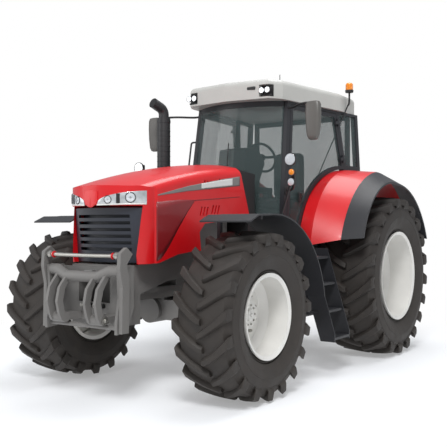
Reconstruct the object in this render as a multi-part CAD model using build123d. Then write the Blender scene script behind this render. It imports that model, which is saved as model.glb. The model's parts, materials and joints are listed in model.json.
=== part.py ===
"""Four-wheel-drive farm tractor with cab, front linkage and rear three-point lift.

The model is drawn with the rear axle above y = 0, the front of the machine towards -Y,
its left side towards +X and the ground at z = 0. It is written out with the middle of
its length at y = 0. All sizes are in millimetres.
"""

from build123d import *

import math
import os

# Main layout
WHEELBASE = 3093
FRONT_OVERHANG = 1210
REAR_OVERHANG = 1300
ORIGIN_Y = (REAR_OVERHANG - WHEELBASE - FRONT_OVERHANG) / 2

# Tyres and rims
FRONT_TYRE_R = 800
FRONT_TYRE_WIDTH = 600
FRONT_WHEEL_X = 1110
FRONT_RIM_R = 406
FRONT_RIM_HALF_WIDTH = 264
FRONT_BEAD_HALF_WIDTH = 232
FRONT_LUGS = 19
FRONT_LUG_HEIGHT = 46
REAR_TYRE_R = 1010
REAR_TYRE_WIDTH = 715
REAR_WHEEL_X = 1130
REAR_RIM_R = 559
REAR_RIM_HALF_WIDTH = 318
REAR_BEAD_HALF_WIDTH = 284
REAR_LUGS = 21
REAR_LUG_HEIGHT = 54
FRONT_HUB_Z = FRONT_TYRE_R * math.cos(math.pi / (2 * FRONT_LUGS))
REAR_HUB_Z = REAR_TYRE_R * math.cos(math.pi / (2 * REAR_LUGS))
BEAD_DEPTH = 26
RIM_WALL = 12
RIM_LIP = 15
RIM_SEAT_GAP = 0.3

# Hubs and kingpins
KINGPIN_X = 800
KINGPIN_R = 28
KINGPIN_GAP = 0.06
SPINDLE_R = 60
SPINDLE_GAP = 0.08
RUNNING_GAP = 6
FRONT_DISC_X = 1050
REAR_DISC_X = 1030
DISC_WALL = 18
DISC_CONE = 70
HUB_BACK = 62
HUB_BORE_END = 12
FRONT_HUB_R = 160
FRONT_HUB_REACH = 95
REAR_HUB_R = 165
REAR_HUB_REACH = 60
YOKE_HALF_HEIGHT = 140
YOKE_R = 72
KNUCKLE_PLATE = 44

# Front axle beam
BEAM_HALF_DEPTH = 60
BEAM_HALF_HEIGHT = 92
STEERING_ROD_R = 18
STEERING_ROD_GAP = 0.5
STEERING_CYLINDER_R = 44
STEERING_CYLINDER_Y = 196
STEERING_CYLINDER_LIFT = 70
STEERING_EYE_R = 34
STEERING_EYE_RIM = 5

# Chassis
RAIL_HALF_GAP = 205
RAIL_WALL = 45
RAIL_LOW_Z = 930
RAIL_TOP_Z = 1040
BED_TOP_Z = 960
CASTING_LOW_Z = 720
FRAME_FRONT_Y = -WHEELBASE - 860
SIDE_PLATE_X = 300
SIDE_PLATE_WALL = 30
ENGINE_HALF_WIDTH = 255
ENGINE_FRONT_Y = -3080
ENGINE_REAR_Y = -2160
ENGINE_TOP_Z = 1720
PAN_HALF_WIDTH = 195
PAN_LOW_Z = 850
RADIATOR_HALF_WIDTH = 292
RADIATOR_FRONT_Y = -3700
HOUSING_HALF_WIDTH = 235
HOUSING_LOW_Z = 640
HOUSING_TOP_Z = 1300
CAB_MOUNT_Y = (-1500, -500)
MOUNT_BAR_HEIGHT = 90

# Hood
HOOD_WALL = 26
HOOD_HALF_WIDTH = 503
HOOD_REAR_TOP_Y = -2270
HOOD_REAR_LOW_Y = -2080
HOOD_HINGE_Z = 2272
HOOD_GAP = 8
NOSE_Y = -4040
NOSE_CORNER_X = 478
NOSE_CORNER_Y = -3690
LEG_LOW_Z = 1285

# Cab
FLOOR_Z = 1450
FLOOR_WALL = 60
CAB_ROOF_Z = 3110
ROOF_TOP_Z = 3340
PANEL_WALL = 42
GLASS_WALL = 8
DOOR_GAP = 6
DOOR_RAIL = 46
DOOR_TOP_Z = 3070
PILLAR_WIDTH = 60
PILLAR_DEPTH = 66
HEADER_HEIGHT = 60
CAB_REAR_Y = 60
SIDE_LEAN = 0.054
SIDE_TOE = 0.131
C_BASE = (850, -270, 2230)
DOOR_REAR_LOW_Y = -340
DOOR_REAR_TOP_Y = -455
WAIST_Z = 2420
REAR_SILL_Z = 2050
DOOR_SILL_GAP = 14
HINGE_LOW_Z = 2500
HINGE_HIGH_Z = 2960
HINGE_STAND_OFF = 14
HINGE_KNUCKLE_R = 13
HINGE_PIN_R = 7
ROOF_POCKET_Y = -1700
STEERING_SEAT = (0, -1010, 2500)
STEERING_WHEEL_R = 190
SEAT_Z = 1860
STEP_FRONT_Y = -1740
STEP_REAR_Y = -1370
WHEEL_WALL_X = 700
SCREEN_LOW_Z = 1705
SCREEN_LOW = (640, -1665, -1880)
SCREEN_TOP = (600, -1480, -1690)
COWL_LOW_Z = 1525
COWL_REAR_Y = -1930
COWL_HALF_WIDTH = 480
HOOD_HINGE_Y = -2290
HOOD_HINGE_PIN = 8

# Fenders
FENDER_WALL = 24
FENDER_INNER_X = 900
FENDER_SEAM_X = 1200
FLARE_OUTER_X = 1462
FENDER_BULGE_Y = -310
FENDER_BULGE_Z = 1276
FENDER_BULGE_R = 1053
FENDER_TOP_Z = FENDER_BULGE_Z + FENDER_BULGE_R
FENDER_FOOT_Z = 1420
FENDER_REAR_Y = 1050
FENDER_REAR_Z = 1500
SEAM_GAP = 0.3
FRONT_FENDER_INNER_X = 850
FRONT_FENDER_OUTER_X = 1412
FRONT_FENDER_R = 1023
FRONT_FENDER_BACK = 43
FRONT_FENDER_LOWER = 77
FRONT_FENDER_DROP = 68
FRONT_FENDER_WALL = 14

# Rear lift and hitch
REAR_FACE_Y = 330
LINK_X = 400
LINK_PIVOT_Y = 430
LINK_PIVOT_Z = 640
LINK_END_Z = 700
LINK_WIDTH = 34
LINK_HEIGHT = 70
LINK_BALL_R = 42
LINK_BORE_R = 18.5
LINK_PIN_R = 17
PIN_GAP = 0.06
LIFT_SHAFT_Y = 250
LIFT_SHAFT_Z = 1400
LIFT_SHAFT_R = 30
LIFT_ARM_X = 300
LIFT_ARM_WALL = 34
ROD_Y = 750
ROD_TOP_Z = 1520
ROD_X = 352
ROD_WALL = 24
ROD_PIN_R = 12
LINK_ROD_Z = LINK_PIVOT_Z + 22
DRAWBAR_Z = 470
DRAWBAR_END_Y = 1010
DRAWBAR_PIN_R = 16
PTO_Z = 760
PTO_R = 22
PTO_LENGTH = 110
TOP_LINK_BORE_R = 16
TOP_LINK_PIN_R = 15
TOP_LINK_HALF_EYE = 24
TOP_LINK_Y = 425
TOP_LINK_Z = 1130
TOP_LINK_REACH = 645
TOP_LINK_RISE = 110

# Front linkage
LINKAGE_FRONT_Y = -WHEELBASE - FRONT_OVERHANG
FRONT_PIVOT_Y = -4120
FRONT_PIVOT_Z = 730
FRONT_PIN_R = 20
FRONT_CHEEK_X = 430
FRONT_CHEEK_WALL = 30
FRONT_ARM_X = 466
FRONT_ARM_WALL = 40
YOKE_TUBE_R = 50


def block(x_low, x_high, y_low, y_high, z_low, z_high):
    """A plain block between two opposite corners."""
    middle = Pos((x_low + x_high) / 2, (y_low + y_high) / 2, (z_low + z_high) / 2)
    return middle * Box(x_high - x_low, y_high - y_low, z_high - z_low)


def side_plate(points, x_low, x_high):
    """A plate whose outline is drawn in (y, z), from one x to another."""
    face = Plane.YZ.offset(x_low) * make_face(Polyline(*points, close=True))
    return extrude(face, amount=x_high - x_low)


def front_plate(points, y_low, y_high):
    """A plate whose outline is drawn in (x, z), from one y to another."""
    face = Plane.XZ.offset(-y_low) * make_face(Polyline(*points, close=True))
    return extrude(face, amount=y_low - y_high)


def plan_plate(points, z_low, z_high):
    """A plate whose outline is drawn in (x, y), from one z to another."""
    face = Plane.XY.offset(z_low) * make_face(Polyline(*points, close=True))
    return extrude(face, amount=z_high - z_low)


def bar_x(radius, x_low, x_high, y, z):
    """A round bar that lies across the machine."""
    turned = Rot(0, 90, 0) * Cylinder(radius, x_high - x_low)
    return Pos((x_low + x_high) / 2, y, z) * turned


def bar_z(radius, x, y, z_low, z_high):
    """An upright round bar."""
    return Pos(x, y, (z_low + z_high) / 2) * Cylinder(radius, z_high - z_low)


def tube(points, radius, bend):
    """A round bar along straight runs with rounded corners."""
    if len(points) > 2:
        path = FilletPolyline(*points, radius=bend)
    else:
        path = Polyline(*points)
    start = Plane(origin=path @ 0, z_dir=path % 0)
    return sweep(start * Circle(radius), path=path)


def both_sides(solid):
    """A solid and its mirror image on the other side of the machine."""
    return Part(children=[solid, mirror(solid, about=Plane.YZ)])


def bar_y(radius, x, y_low, y_high, z):
    """A round bar that lies along the machine."""
    laid = Rot(90, 0, 0) * Cylinder(radius, y_high - y_low)
    return Pos(x, (y_low + y_high) / 2, z) * laid


def turned(profile):
    """A solid of revolution about an axis across the machine: points are (x, radius)."""
    face = make_face(Polyline(*[(px, 0, pr) for px, pr in profile], close=True))
    return revolve(face, axis=Axis.X, revolution_arc=360)


def tyre(radius, width, rim_radius, bead_half_width, lugs, lug_height):
    """A tractor tyre about the X axis, its bars running forward towards the middle at the top."""
    crown = radius - lug_height
    height = crown - rim_radius
    half_profile = [
        (bead_half_width, rim_radius + 0.03 * height),
        (0.483 * width, rim_radius + 0.42 * height),
        (0.475 * width, crown - 0.20 * height),
        (0.385 * width, crown),
    ]
    rings = [(-x, r) for x, r in half_profile] + list(reversed(half_profile))
    sections = []
    for x, r in rings:
        plane = Plane(origin=(x, 0, 0), x_dir=(0, 0, 1), z_dir=(1, 0, 0))
        sections.append(plane * RegularPolygon(r, lugs))
    carcass = loft(sections, ruled=True)
    bore_plane = Plane(origin=(-width, 0, 0), x_dir=(0, 0, 1), z_dir=(1, 0, 0))
    seat = rim_radius - BEAD_DEPTH + RIM_SEAT_GAP
    bore = extrude(bore_plane * RegularPolygon(seat, 2 * lugs, major_radius=False), 2 * width)
    carcass -= bore

    reach = 0.86 * math.pi * radius / lugs
    drop = 0.03 * width
    nose_x = 0.03 * width
    tilt = math.degrees(math.atan(drop / (0.5 * width)))
    top = math.sqrt(radius**2 - reach**2) - nose_x * math.sin(math.radians(tilt))
    nose = 0.50 * reach
    foot = 0.80 * reach
    footprint = [
        (-nose_x, -reach),
        (-nose_x, -reach + nose),
        (0.5 * width, reach),
        (0.5 * width, reach - foot),
    ]
    bars = []
    for side in (1, -1):
        outline = [(side * x, y) for x, y in footprint]
        plane = Plane(origin=(0, 0, top)).rotated((0, side * tilt, 0))
        depth = lug_height + 0.30 * height
        bar = extrude(plane * make_face(Polyline(*outline, close=True)), amount=-depth)
        offset = 0 if side == 1 else 180 / lugs
        for count in range(lugs):
            bars.append(Rot(count * 360 / lugs + offset, 0, 0) * bar)
    lead = math.degrees(math.asin(reach / radius))
    return Rot(90 / lugs - lead, 0, 0) * carcass.fuse(*bars)


def rim(half_width, flange_r, disc, hub_r, hub_reach):
    """A dished wheel rim with its disc and hub in one, for the left side."""
    seat = flange_r - BEAD_DEPTH
    inside = seat - RIM_WALL
    cone_r = inside - DISC_CONE
    profile = [
        (-half_width, flange_r),
        (-half_width + RIM_LIP, flange_r),
        (-half_width + 2 * RIM_LIP, seat),
        (half_width - 2 * RIM_LIP, seat),
        (half_width - RIM_LIP, flange_r),
        (half_width, flange_r),
        (half_width - RIM_LIP, inside),
        (disc + DISC_CONE + DISC_WALL, inside),
        (disc + DISC_WALL, cone_r),
        (disc + DISC_WALL, hub_r),
        (disc + hub_reach, hub_r - 25),
        (disc + hub_reach, 0),
        (disc - HUB_BORE_END, 0),
        (disc - HUB_BORE_END, SPINDLE_R + SPINDLE_GAP),
        (disc - HUB_BACK, SPINDLE_R + SPINDLE_GAP),
        (disc - HUB_BACK, hub_r - 10),
        (disc, hub_r),
        (disc, cone_r - 12),
        (disc + DISC_CONE, inside),
        (-half_width + RIM_LIP, inside),
    ]
    return turned(profile)


def wheel(place, side, rubber, metal):
    """Tyre and rim at their place; side is 1 on the left and -1 on the right."""
    if side < 0:
        metal = mirror(metal, about=Plane.YZ)
    return place * rubber, place * metal


def front_wheel(side):
    """Tyre and rim of a front wheel."""
    rubber = tyre(
        FRONT_TYRE_R,
        FRONT_TYRE_WIDTH,
        FRONT_RIM_R,
        FRONT_BEAD_HALF_WIDTH,
        FRONT_LUGS,
        FRONT_LUG_HEIGHT,
    )
    disc = FRONT_DISC_X - FRONT_WHEEL_X
    metal = rim(FRONT_RIM_HALF_WIDTH, FRONT_RIM_R, disc, FRONT_HUB_R, FRONT_HUB_REACH)
    return wheel(Pos(side * FRONT_WHEEL_X, -WHEELBASE, FRONT_HUB_Z), side, rubber, metal)


def rear_wheel(side):
    """Tyre and rim of a rear wheel."""
    rubber = tyre(
        REAR_TYRE_R,
        REAR_TYRE_WIDTH,
        REAR_RIM_R,
        REAR_BEAD_HALF_WIDTH,
        REAR_LUGS,
        REAR_LUG_HEIGHT,
    )
    disc = REAR_DISC_X - REAR_WHEEL_X
    metal = rim(REAR_RIM_HALF_WIDTH, REAR_RIM_R, disc, REAR_HUB_R, REAR_HUB_REACH)
    return wheel(Pos(side * REAR_WHEEL_X, 0, REAR_HUB_Z), side, rubber, metal)


def front_axle():
    """Driven front axle: tapered beam, drive casing, kingpin bosses and steering cylinder."""
    y_mid = -WHEELBASE
    z_mid = FRONT_HUB_Z
    half = KINGPIN_X
    beam = front_plate(
        [
            (-half, z_mid - 62),
            (-260, z_mid - 112),
            (260, z_mid - 112),
            (half, z_mid - 62),
            (half, z_mid + 62),
            (260, z_mid + BEAM_HALF_HEIGHT),
            (-260, z_mid + BEAM_HALF_HEIGHT),
            (-half, z_mid + 62),
        ],
        y_mid - BEAM_HALF_DEPTH,
        y_mid + BEAM_HALF_DEPTH,
    )
    casing = bar_y(128, 0, y_mid - 110, y_mid + 130, z_mid - 20)
    snout = bar_y(84, 0, y_mid + 100, y_mid + 300, z_mid - 20)
    shaft = bar_y(34, 0, y_mid + 300, ENGINE_REAR_Y - SEAM_GAP, z_mid - 20)
    beam = beam + casing + snout + shaft
    cylinder_y = y_mid + STEERING_CYLINDER_Y
    cylinder_z = z_mid + STEERING_CYLINDER_LIFT
    cylinder = bar_x(STEERING_CYLINDER_R, -330, 330, cylinder_y, cylinder_z)
    for x in (-290, 290):
        cylinder = cylinder + block(
            x - 25, x + 25, y_mid, cylinder_y, cylinder_z - 30, cylinder_z + 16
        )
    beam = beam + cylinder
    for side in (1, -1):
        boss = bar_z(YOKE_R, side * half, y_mid, z_mid - YOKE_HALF_HEIGHT, z_mid + YOKE_HALF_HEIGHT)
        pin_hole = bar_z(KINGPIN_R + KINGPIN_GAP, side * half, y_mid, z_mid - 300, z_mid + 300)
        beam = beam + boss - pin_hole
    rod_hole = bar_x(STEERING_ROD_R + STEERING_ROD_GAP, -500, 500, cylinder_y, cylinder_z)
    saddle = block(-150, 150, y_mid - 50, y_mid + 50, z_mid + 50, RAIL_LOW_Z)
    return beam + saddle - rod_hole


def steering_rod():
    """Through rod of the steering cylinder, with an eye housing over each steering arm."""
    y = -WHEELBASE + STEERING_CYLINDER_Y
    z = FRONT_HUB_Z + STEERING_CYLINDER_LIFT
    end = KINGPIN_X - 35
    rod = bar_x(STEERING_ROD_R, -end, end, y, z)
    for side in (1, -1):
        half = STEERING_ROD_R + STEERING_EYE_RIM
        rod = rod + bar_z(STEERING_EYE_R, side * end, y, z - half, z + half)
    return rod


def knuckle():
    """Left swivel housing: plates above and below the beam boss, pin, spindle and arm."""
    y = -WHEELBASE
    z = FRONT_HUB_Z
    reach = YOKE_HALF_HEIGHT + SEAM_GAP
    low = z - reach - KNUCKLE_PLATE
    high = z + reach + KNUCKLE_PLATE
    face_x = FRONT_DISC_X - HUB_BACK - RUNNING_GAP
    body = bar_z(YOKE_R + 12, KINGPIN_X, y, low, high)
    body = body + block(KINGPIN_X, KINGPIN_X + 140, y - 66, y + 66, low, high)
    body = body + bar_x(118, KINGPIN_X + 60, face_x, y, z)
    body = body - bar_z(YOKE_R + 12.5, KINGPIN_X, y, z - reach, z + reach)
    pin = bar_z(KINGPIN_R, KINGPIN_X, y, low, high)
    spindle_end = FRONT_DISC_X - HUB_BORE_END - RUNNING_GAP
    spindle = bar_x(SPINDLE_R, face_x - 40, spindle_end, y, z)
    arm_top = z + STEERING_CYLINDER_LIFT - STEERING_ROD_R - STEERING_EYE_RIM - RUNNING_GAP
    arm = plan_plate(
        [
            (KINGPIN_X + 92, y + 30),
            (KINGPIN_X + 138, y + 30),
            (KINGPIN_X + 100, y + STEERING_CYLINDER_Y + 36),
            (KINGPIN_X - 62, y + STEERING_CYLINDER_Y + 36),
            (KINGPIN_X - 62, y + STEERING_CYLINDER_Y - 34),
            (KINGPIN_X + 50, y + STEERING_CYLINDER_Y - 34),
        ],
        arm_top - 36,
        arm_top,
    )
    return body + pin + spindle + arm


def front_fender():
    """Left front fender with the post and arm that carry it on the knuckle."""
    y = -WHEELBASE
    centre = (y + FRONT_FENDER_BACK, FRONT_HUB_Z - FRONT_FENDER_LOWER)
    outer_r = FRONT_FENDER_R + FRONT_FENDER_WALL
    front_y = y - 396
    bend_y = y - 257
    crest = centre[1] + outer_r
    outside = CenterArc(centre, outer_r, 10, 86)
    inside = CenterArc(centre, FRONT_FENDER_R, 10, 86)
    upper = [(bend_y, crest - 10), (front_y, crest - FRONT_FENDER_DROP)]
    lower = [(front_y, upper[1][1] - FRONT_FENDER_WALL), (bend_y, upper[0][1] - FRONT_FENDER_WALL)]
    lines = [
        outside,
        Line(outside @ 1, upper[0]),
        Line(upper[0], upper[1]),
        Line(upper[1], lower[0]),
        Line(lower[0], lower[1]),
        Line(lower[1], inside @ 1),
        inside,
        Line(inside @ 0, outside @ 0),
    ]
    width = FRONT_FENDER_OUTER_X - FRONT_FENDER_INNER_X
    shell = extrude(Plane.YZ.offset(FRONT_FENDER_INNER_X) * make_face(lines), amount=width)
    top = centre[1] + FRONT_FENDER_R - 4
    post_low = FRONT_HUB_Z + YOKE_HALF_HEIGHT + SEAM_GAP + KNUCKLE_PLATE
    post = block(KINGPIN_X - 40, KINGPIN_X - 4, y + 20, y + 60, post_low, top)
    arm = block(KINGPIN_X - 40, FRONT_FENDER_OUTER_X - 150, y + 20, y + 60, top - 36, top + 8)
    return shell + post + arm


def front_frame():
    """Half frame: two rails, front casting and the grey side plates below the hood."""
    casting_rear = -3720
    casting_top = LEG_LOW_Z - HOOD_GAP
    frame = block(
        -SIDE_PLATE_X - SIDE_PLATE_WALL,
        SIDE_PLATE_X + SIDE_PLATE_WALL,
        FRAME_FRONT_Y,
        casting_rear,
        CASTING_LOW_Z,
        casting_top,
    )
    frame = frame - block(-200, 200, FRAME_FRONT_Y - 10, casting_rear - 40, 900, 1180)
    frame = frame + block(
        -RAIL_HALF_GAP - 10, RAIL_HALF_GAP + 10, -3300, -2900, RAIL_LOW_Z, BED_TOP_Z
    )
    plate = side_plate(
        [
            (-2910, 1370),
            (-2980, 1220),
            (-3110, 1200),
            (-3110, 1110),
            (-3300, 1100),
            (casting_rear - 10, 1000),
            (casting_rear - 10, casting_top),
            (-3640, casting_top),
            (-3360, 1352),
            (-3120, 1370),
        ],
        SIDE_PLATE_X,
        SIDE_PLATE_X + SIDE_PLATE_WALL,
    )
    rail = block(
        RAIL_HALF_GAP,
        RAIL_HALF_GAP + RAIL_WALL,
        casting_rear - 10,
        ENGINE_REAR_Y,
        RAIL_LOW_Z,
        RAIL_TOP_Z,
    )
    web = block(RAIL_HALF_GAP, SIDE_PLATE_X + 5, -3700, -3400, RAIL_TOP_Z - 30, RAIL_TOP_Z)
    web = web + block(RAIL_HALF_GAP, SIDE_PLATE_X + 5, -3640, -3440, 1000, RAIL_TOP_Z + 80)
    for piece in (plate, rail, web):
        frame = frame + piece + mirror(piece, about=Plane.YZ)
    return frame


def engine():
    """Engine with the radiator pack ahead of it, closed in by the hood."""
    pan = block(
        -PAN_HALF_WIDTH, PAN_HALF_WIDTH, ENGINE_FRONT_Y, ENGINE_REAR_Y, PAN_LOW_Z, RAIL_TOP_Z + 10
    )
    pan = pan - block(-300, 300, -3340, -2780, PAN_LOW_Z - 10, BED_TOP_Z)
    head = block(
        -ENGINE_HALF_WIDTH,
        ENGINE_HALF_WIDTH,
        ENGINE_FRONT_Y,
        ENGINE_REAR_Y,
        RAIL_TOP_Z,
        ENGINE_TOP_Z,
    )
    pack = block(
        -200, 200, RADIATOR_FRONT_Y, -3380, RAIL_TOP_Z, ENGINE_TOP_Z + 60
    ) + block(
        -RADIATOR_HALF_WIDTH,
        RADIATOR_HALF_WIDTH,
        RADIATOR_FRONT_Y,
        -3380,
        RAIL_TOP_Z + 85,
        ENGINE_TOP_Z + 60,
    )
    shroud = block(-190, 190, -3400, ENGINE_FRONT_Y + 20, 1100, ENGINE_TOP_Z - 80)
    return pan + head + pack + shroud


def transmission():
    """Clutch and gearbox housing, waisted, with the cab mounts on its cross bars."""
    low = HOUSING_LOW_Z
    body = side_plate(
        [
            (ENGINE_REAR_Y, low + 60),
            (-1700, low),
            (-REAR_FACE_Y, low),
            (-REAR_FACE_Y, HOUSING_TOP_Z),
            (ENGINE_REAR_Y, HOUSING_TOP_Z),
        ],
        -HOUSING_HALF_WIDTH,
        HOUSING_HALF_WIDTH,
    )
    bell = block(-290, 290, ENGINE_REAR_Y, ENGINE_REAR_Y + 240, low + 150, COWL_LOW_Z)
    body = body + bell
    for y in CAB_MOUNT_Y:
        body = body + block(
            -620, 620, y - 50, y + 50, HOUSING_TOP_Z - MOUNT_BAR_HEIGHT, HOUSING_TOP_Z
        )
        for side in (1, -1):
            body = body + bar_z(55, side * 560, y, HOUSING_TOP_Z - 20, FLOOR_Z - FLOOR_WALL)
    return body


def rear_axle():
    """Rear axle housing: centre casing, a tapered trumpet to each wheel and the lift casing."""
    z = REAR_HUB_Z
    centre = block(-270, 270, -REAR_FACE_Y, REAR_FACE_Y, HOUSING_LOW_Z, 1330)
    end = REAR_DISC_X - HUB_BACK - RUNNING_GAP
    stub_end = REAR_DISC_X - HUB_BORE_END - RUNNING_GAP
    length = end - 260
    for side in (1, -1):
        cone = Pos(side * (260 + length / 2), 0, z) * Rot(0, side * 90, 0) * Cone(215, 140, length)
        low, high = sorted((side * (end - 40), side * stub_end))
        centre = centre + cone + bar_x(SPINDLE_R, low, high, 0, z)
    lift = block(-270, 270, LIFT_SHAFT_Y - 75, REAR_FACE_Y, 1320, LIFT_SHAFT_Z + 60)
    centre = centre + lift
    return centre - bar_x(LIFT_SHAFT_R + PIN_GAP, -300, 300, LIFT_SHAFT_Y, LIFT_SHAFT_Z)


def hood_section(y, half_width, shoulder_z, top_z, low_z, wall):
    """One cross section of the hood at a place along the machine, drawn in by the wall."""
    half = half_width - wall
    crown = top_z - wall
    shoulder = shoulder_z - wall
    corner = 0.82 * half
    corner_z = shoulder + 0.66 * (crown - shoulder)
    knee = (0.955 * half, shoulder + 0.42 * (crown - shoulder))
    outline = [
        Line((half, low_z), (half, shoulder)),
        ThreePointArc((half, shoulder), knee, (corner, corner_z)),
        ThreePointArc((corner, corner_z), (0, crown), (-corner, corner_z)),
        ThreePointArc((-corner, corner_z), (-knee[0], knee[1]), (-half, shoulder)),
        Line((-half, shoulder), (-half, low_z)),
        Line((-half, low_z), (half, low_z)),
    ]
    plane = Plane(origin=(0, y, 0), x_dir=(1, 0, 0), z_dir=(0, -1, 0))
    return plane * make_face(outline)


def hood_body(wall):
    """The hood as a closed body; with a wall it is the hollow inside it."""
    low_z = LEG_LOW_Z - 200
    half = HOOD_HALF_WIDTH
    stations = [
        (-1960, half, 2215, 2336),
        (-2550, half, 2165, 2308),
        (-3200, half - 4, 2065, 2220),
        (-3750, half - 14, 1945, 2100),
        (-4300, half - 40, 1800, 1935),
    ]
    return loft([hood_section(y, w, s, t, low_z, wall) for y, w, s, t in stations])


def hood_plan(wall, z_low, z_high):
    """Prism of the hood's plan outline, its nose drawn back by the wall."""
    front = NOSE_Y + wall
    side = HOOD_HALF_WIDTH + 20
    corner_y = NOSE_CORNER_Y + wall
    corner_x = NOSE_CORNER_X - wall
    bow = corner_y - front
    back = -1900
    lines = [
        Line((side, back), (side, corner_y + 90)),
        Line((side, corner_y + 90), (corner_x, corner_y)),
        EllipticalCenterArc((0, corner_y), corner_x, bow, 180, arc_size=180),
        Line((-corner_x, corner_y), (-side, corner_y + 90)),
        Line((-side, corner_y + 90), (-side, back)),
        Line((-side, back), (side, back)),
    ]
    return extrude(Plane.XY.offset(z_low) * make_face(lines), amount=z_high - z_low)


def hood_shell():
    """Hood skin: sides, crowned top and nose, a leg down each side, and the hinge tabs."""
    outer = hood_body(0) & hood_plan(0, 900, 2600)
    inner = hood_body(HOOD_WALL) & hood_plan(2 * HOOD_WALL, 900, 2600)
    low = side_plate(
        [
            (-4600, LEG_LOW_Z),
            (-3960, LEG_LOW_Z),
            (-3640, LEG_LOW_Z + 8),
            (-3360, 1366),
            (-3120, 1388),
            (-2985, 1388),
            (-3010, 1580),
            (-2920, 1665),
            (-2600, 1690),
            (HOOD_REAR_LOW_Y, 1760),
            (-1700, 1760),
            (-1700, 800),
            (-4600, 800),
        ],
        -700,
        700,
    )
    rear = side_plate(
        [
            (HOOD_REAR_TOP_Y, 2420),
            (HOOD_REAR_TOP_Y, 2260),
            (HOOD_REAR_LOW_Y, 1760),
            (HOOD_REAR_LOW_Y, 700),
            (-1500, 700),
            (-1500, 2420),
        ],
        -700,
        700,
    )
    front = side_plate(
        [(-4500, 1835), (-3960, 1835), (-3795, LEG_LOW_Z - 300), (-4500, LEG_LOW_Z - 300)],
        -700,
        700,
    )
    shell = outer - inner - low - rear - front
    opening = front_plate(
        [(-400, 1240), (400, 1240), (425, 1540), (445, 1830), (-445, 1830), (-425, 1540)],
        -4400,
        -3500,
    )
    shell = shell - opening
    for slot_y, slot_z in ((-3010, 1790), (-2810, 1810), (-2960, 2060), (-2700, 2090)):
        for count in range(3):
            y = slot_y + 52 * count
            cut = side_plate(
                [(y, slot_z - 45), (y + 22, slot_z - 45), (y + 52, slot_z + 45), (y + 30, slot_z + 45)],
                430,
                560,
            )
            shell = shell - cut - mirror(cut, about=Plane.YZ)
    for side in (1, -1):
        low_x, high_x = sorted((side * 190, side * 215))
        tab = block(
            low_x, high_x, HOOD_HINGE_Y - 24, HOOD_HINGE_Y + 18, HOOD_HINGE_Z - 18, HOOD_HINGE_Z + 28
        )
        hole = bar_x(HOOD_HINGE_PIN + PIN_GAP, low_x - 5, high_x + 5, HOOD_HINGE_Y, HOOD_HINGE_Z)
        shell = shell + tab - hole
    return shell


def grille():
    """Black grille panel between the legs of the hood."""
    low = Plane.XY.offset(1300) * arc_band(470, -3770, -3880, 30)
    top = Plane.XY.offset(1810) * arc_band(470, -3778, -3960, 30)
    panel = loft([low, top], ruled=True)
    limit = front_plate(
        [
            (-404.7, 1300),
            (404.7, 1300),
            (424.7, 1540),
            (443.3, 1810),
            (-443.3, 1810),
            (-424.7, 1540),
        ],
        -4400,
        -3500,
    )
    panel = panel & limit
    for count in range(7):
        z = 1345 + 62 * count
        panel = panel - block(-330, 330, -4400, -3700, z, z + 30)
    return panel


def headlamps():
    """Two lamp units under the lip of the nose."""
    body = hood_body(HOOD_WALL + 0.3) & hood_plan(2 * HOOD_WALL + 0.3, 1000, 2500)
    band = side_plate([(-4400, 1836), (-3700, 1836), (-3660, 1960), (-4400, 1900)], 90, 432)
    return both_sides((body & band) - hood_plan(150, 900, 2600))


def bulkhead():
    """Cowl between the hood and the windscreen, with the ears and pins of the hood hinge."""
    wall = side_plate(
        [
            (HOOD_REAR_TOP_Y + HOOD_GAP, 2255),
            (HOOD_REAR_LOW_Y + HOOD_GAP, 1755),
            (HOOD_REAR_LOW_Y + HOOD_GAP, COWL_LOW_Z),
            (COWL_REAR_Y, COWL_LOW_Z),
            (COWL_REAR_Y, 2225),
        ],
        -COWL_HALF_WIDTH,
        COWL_HALF_WIDTH,
    )
    for side in (1, -1):
        low_x, high_x = sorted((side * 160, side * 185))
        ear = side_plate(
            [
                (HOOD_HINGE_Y - 16, HOOD_HINGE_Z - 16),
                (HOOD_HINGE_Y - 16, HOOD_HINGE_Z + 10),
                (HOOD_HINGE_Y + 8, HOOD_HINGE_Z + 10),
                (HOOD_HINGE_Y + 24, HOOD_HINGE_Z - 17),
                (HOOD_HINGE_Y + 60, HOOD_HINGE_Z - 17),
                (HOOD_HINGE_Y + 60, HOOD_HINGE_Z - 60),
            ],
            low_x,
            high_x,
        )
        pin_low, pin_high = sorted((side * 184, side * 218))
        pin = bar_x(HOOD_HINGE_PIN, pin_low, pin_high, HOOD_HINGE_Y, HOOD_HINGE_Z)
        wall = wall + ear + pin
    return wall


def side_x(y, z):
    """Outer face of the cab side at a place: it leans in and narrows to the front."""
    return C_BASE[0] + SIDE_TOE * (y - C_BASE[1]) - SIDE_LEAN * (z - C_BASE[2])


def screen_front(z):
    """Front edge of the front pillar at a height, just behind the windscreen."""
    share = (z - SCREEN_LOW_Z) / (CAB_ROOF_Z - HEADER_HEIGHT - SCREEN_LOW_Z)
    return SCREEN_LOW[1] + share * (SCREEN_TOP[1] - SCREEN_LOW[1]) + GLASS_WALL + SEAM_GAP


def door_front(z):
    """Front edge of the door at a height."""
    return screen_front(z) + PILLAR_WIDTH + DOOR_GAP


def door_rear(z):
    """Rear edge of the door at a height."""
    low_z = FENDER_TOP_Z
    share = (z - low_z) / (DOOR_TOP_Z - low_z)
    return DOOR_REAR_LOW_Y + share * (DOOR_REAR_TOP_Y - DOOR_REAR_LOW_Y)


def arch_z(y, lift):
    """Height of the inner fender line at a place ahead of its top, raised by lift."""
    radius = FENDER_BULGE_R + lift
    return FENDER_BULGE_Z + math.sqrt(radius**2 - (y - FENDER_BULGE_Y) ** 2)


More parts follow.
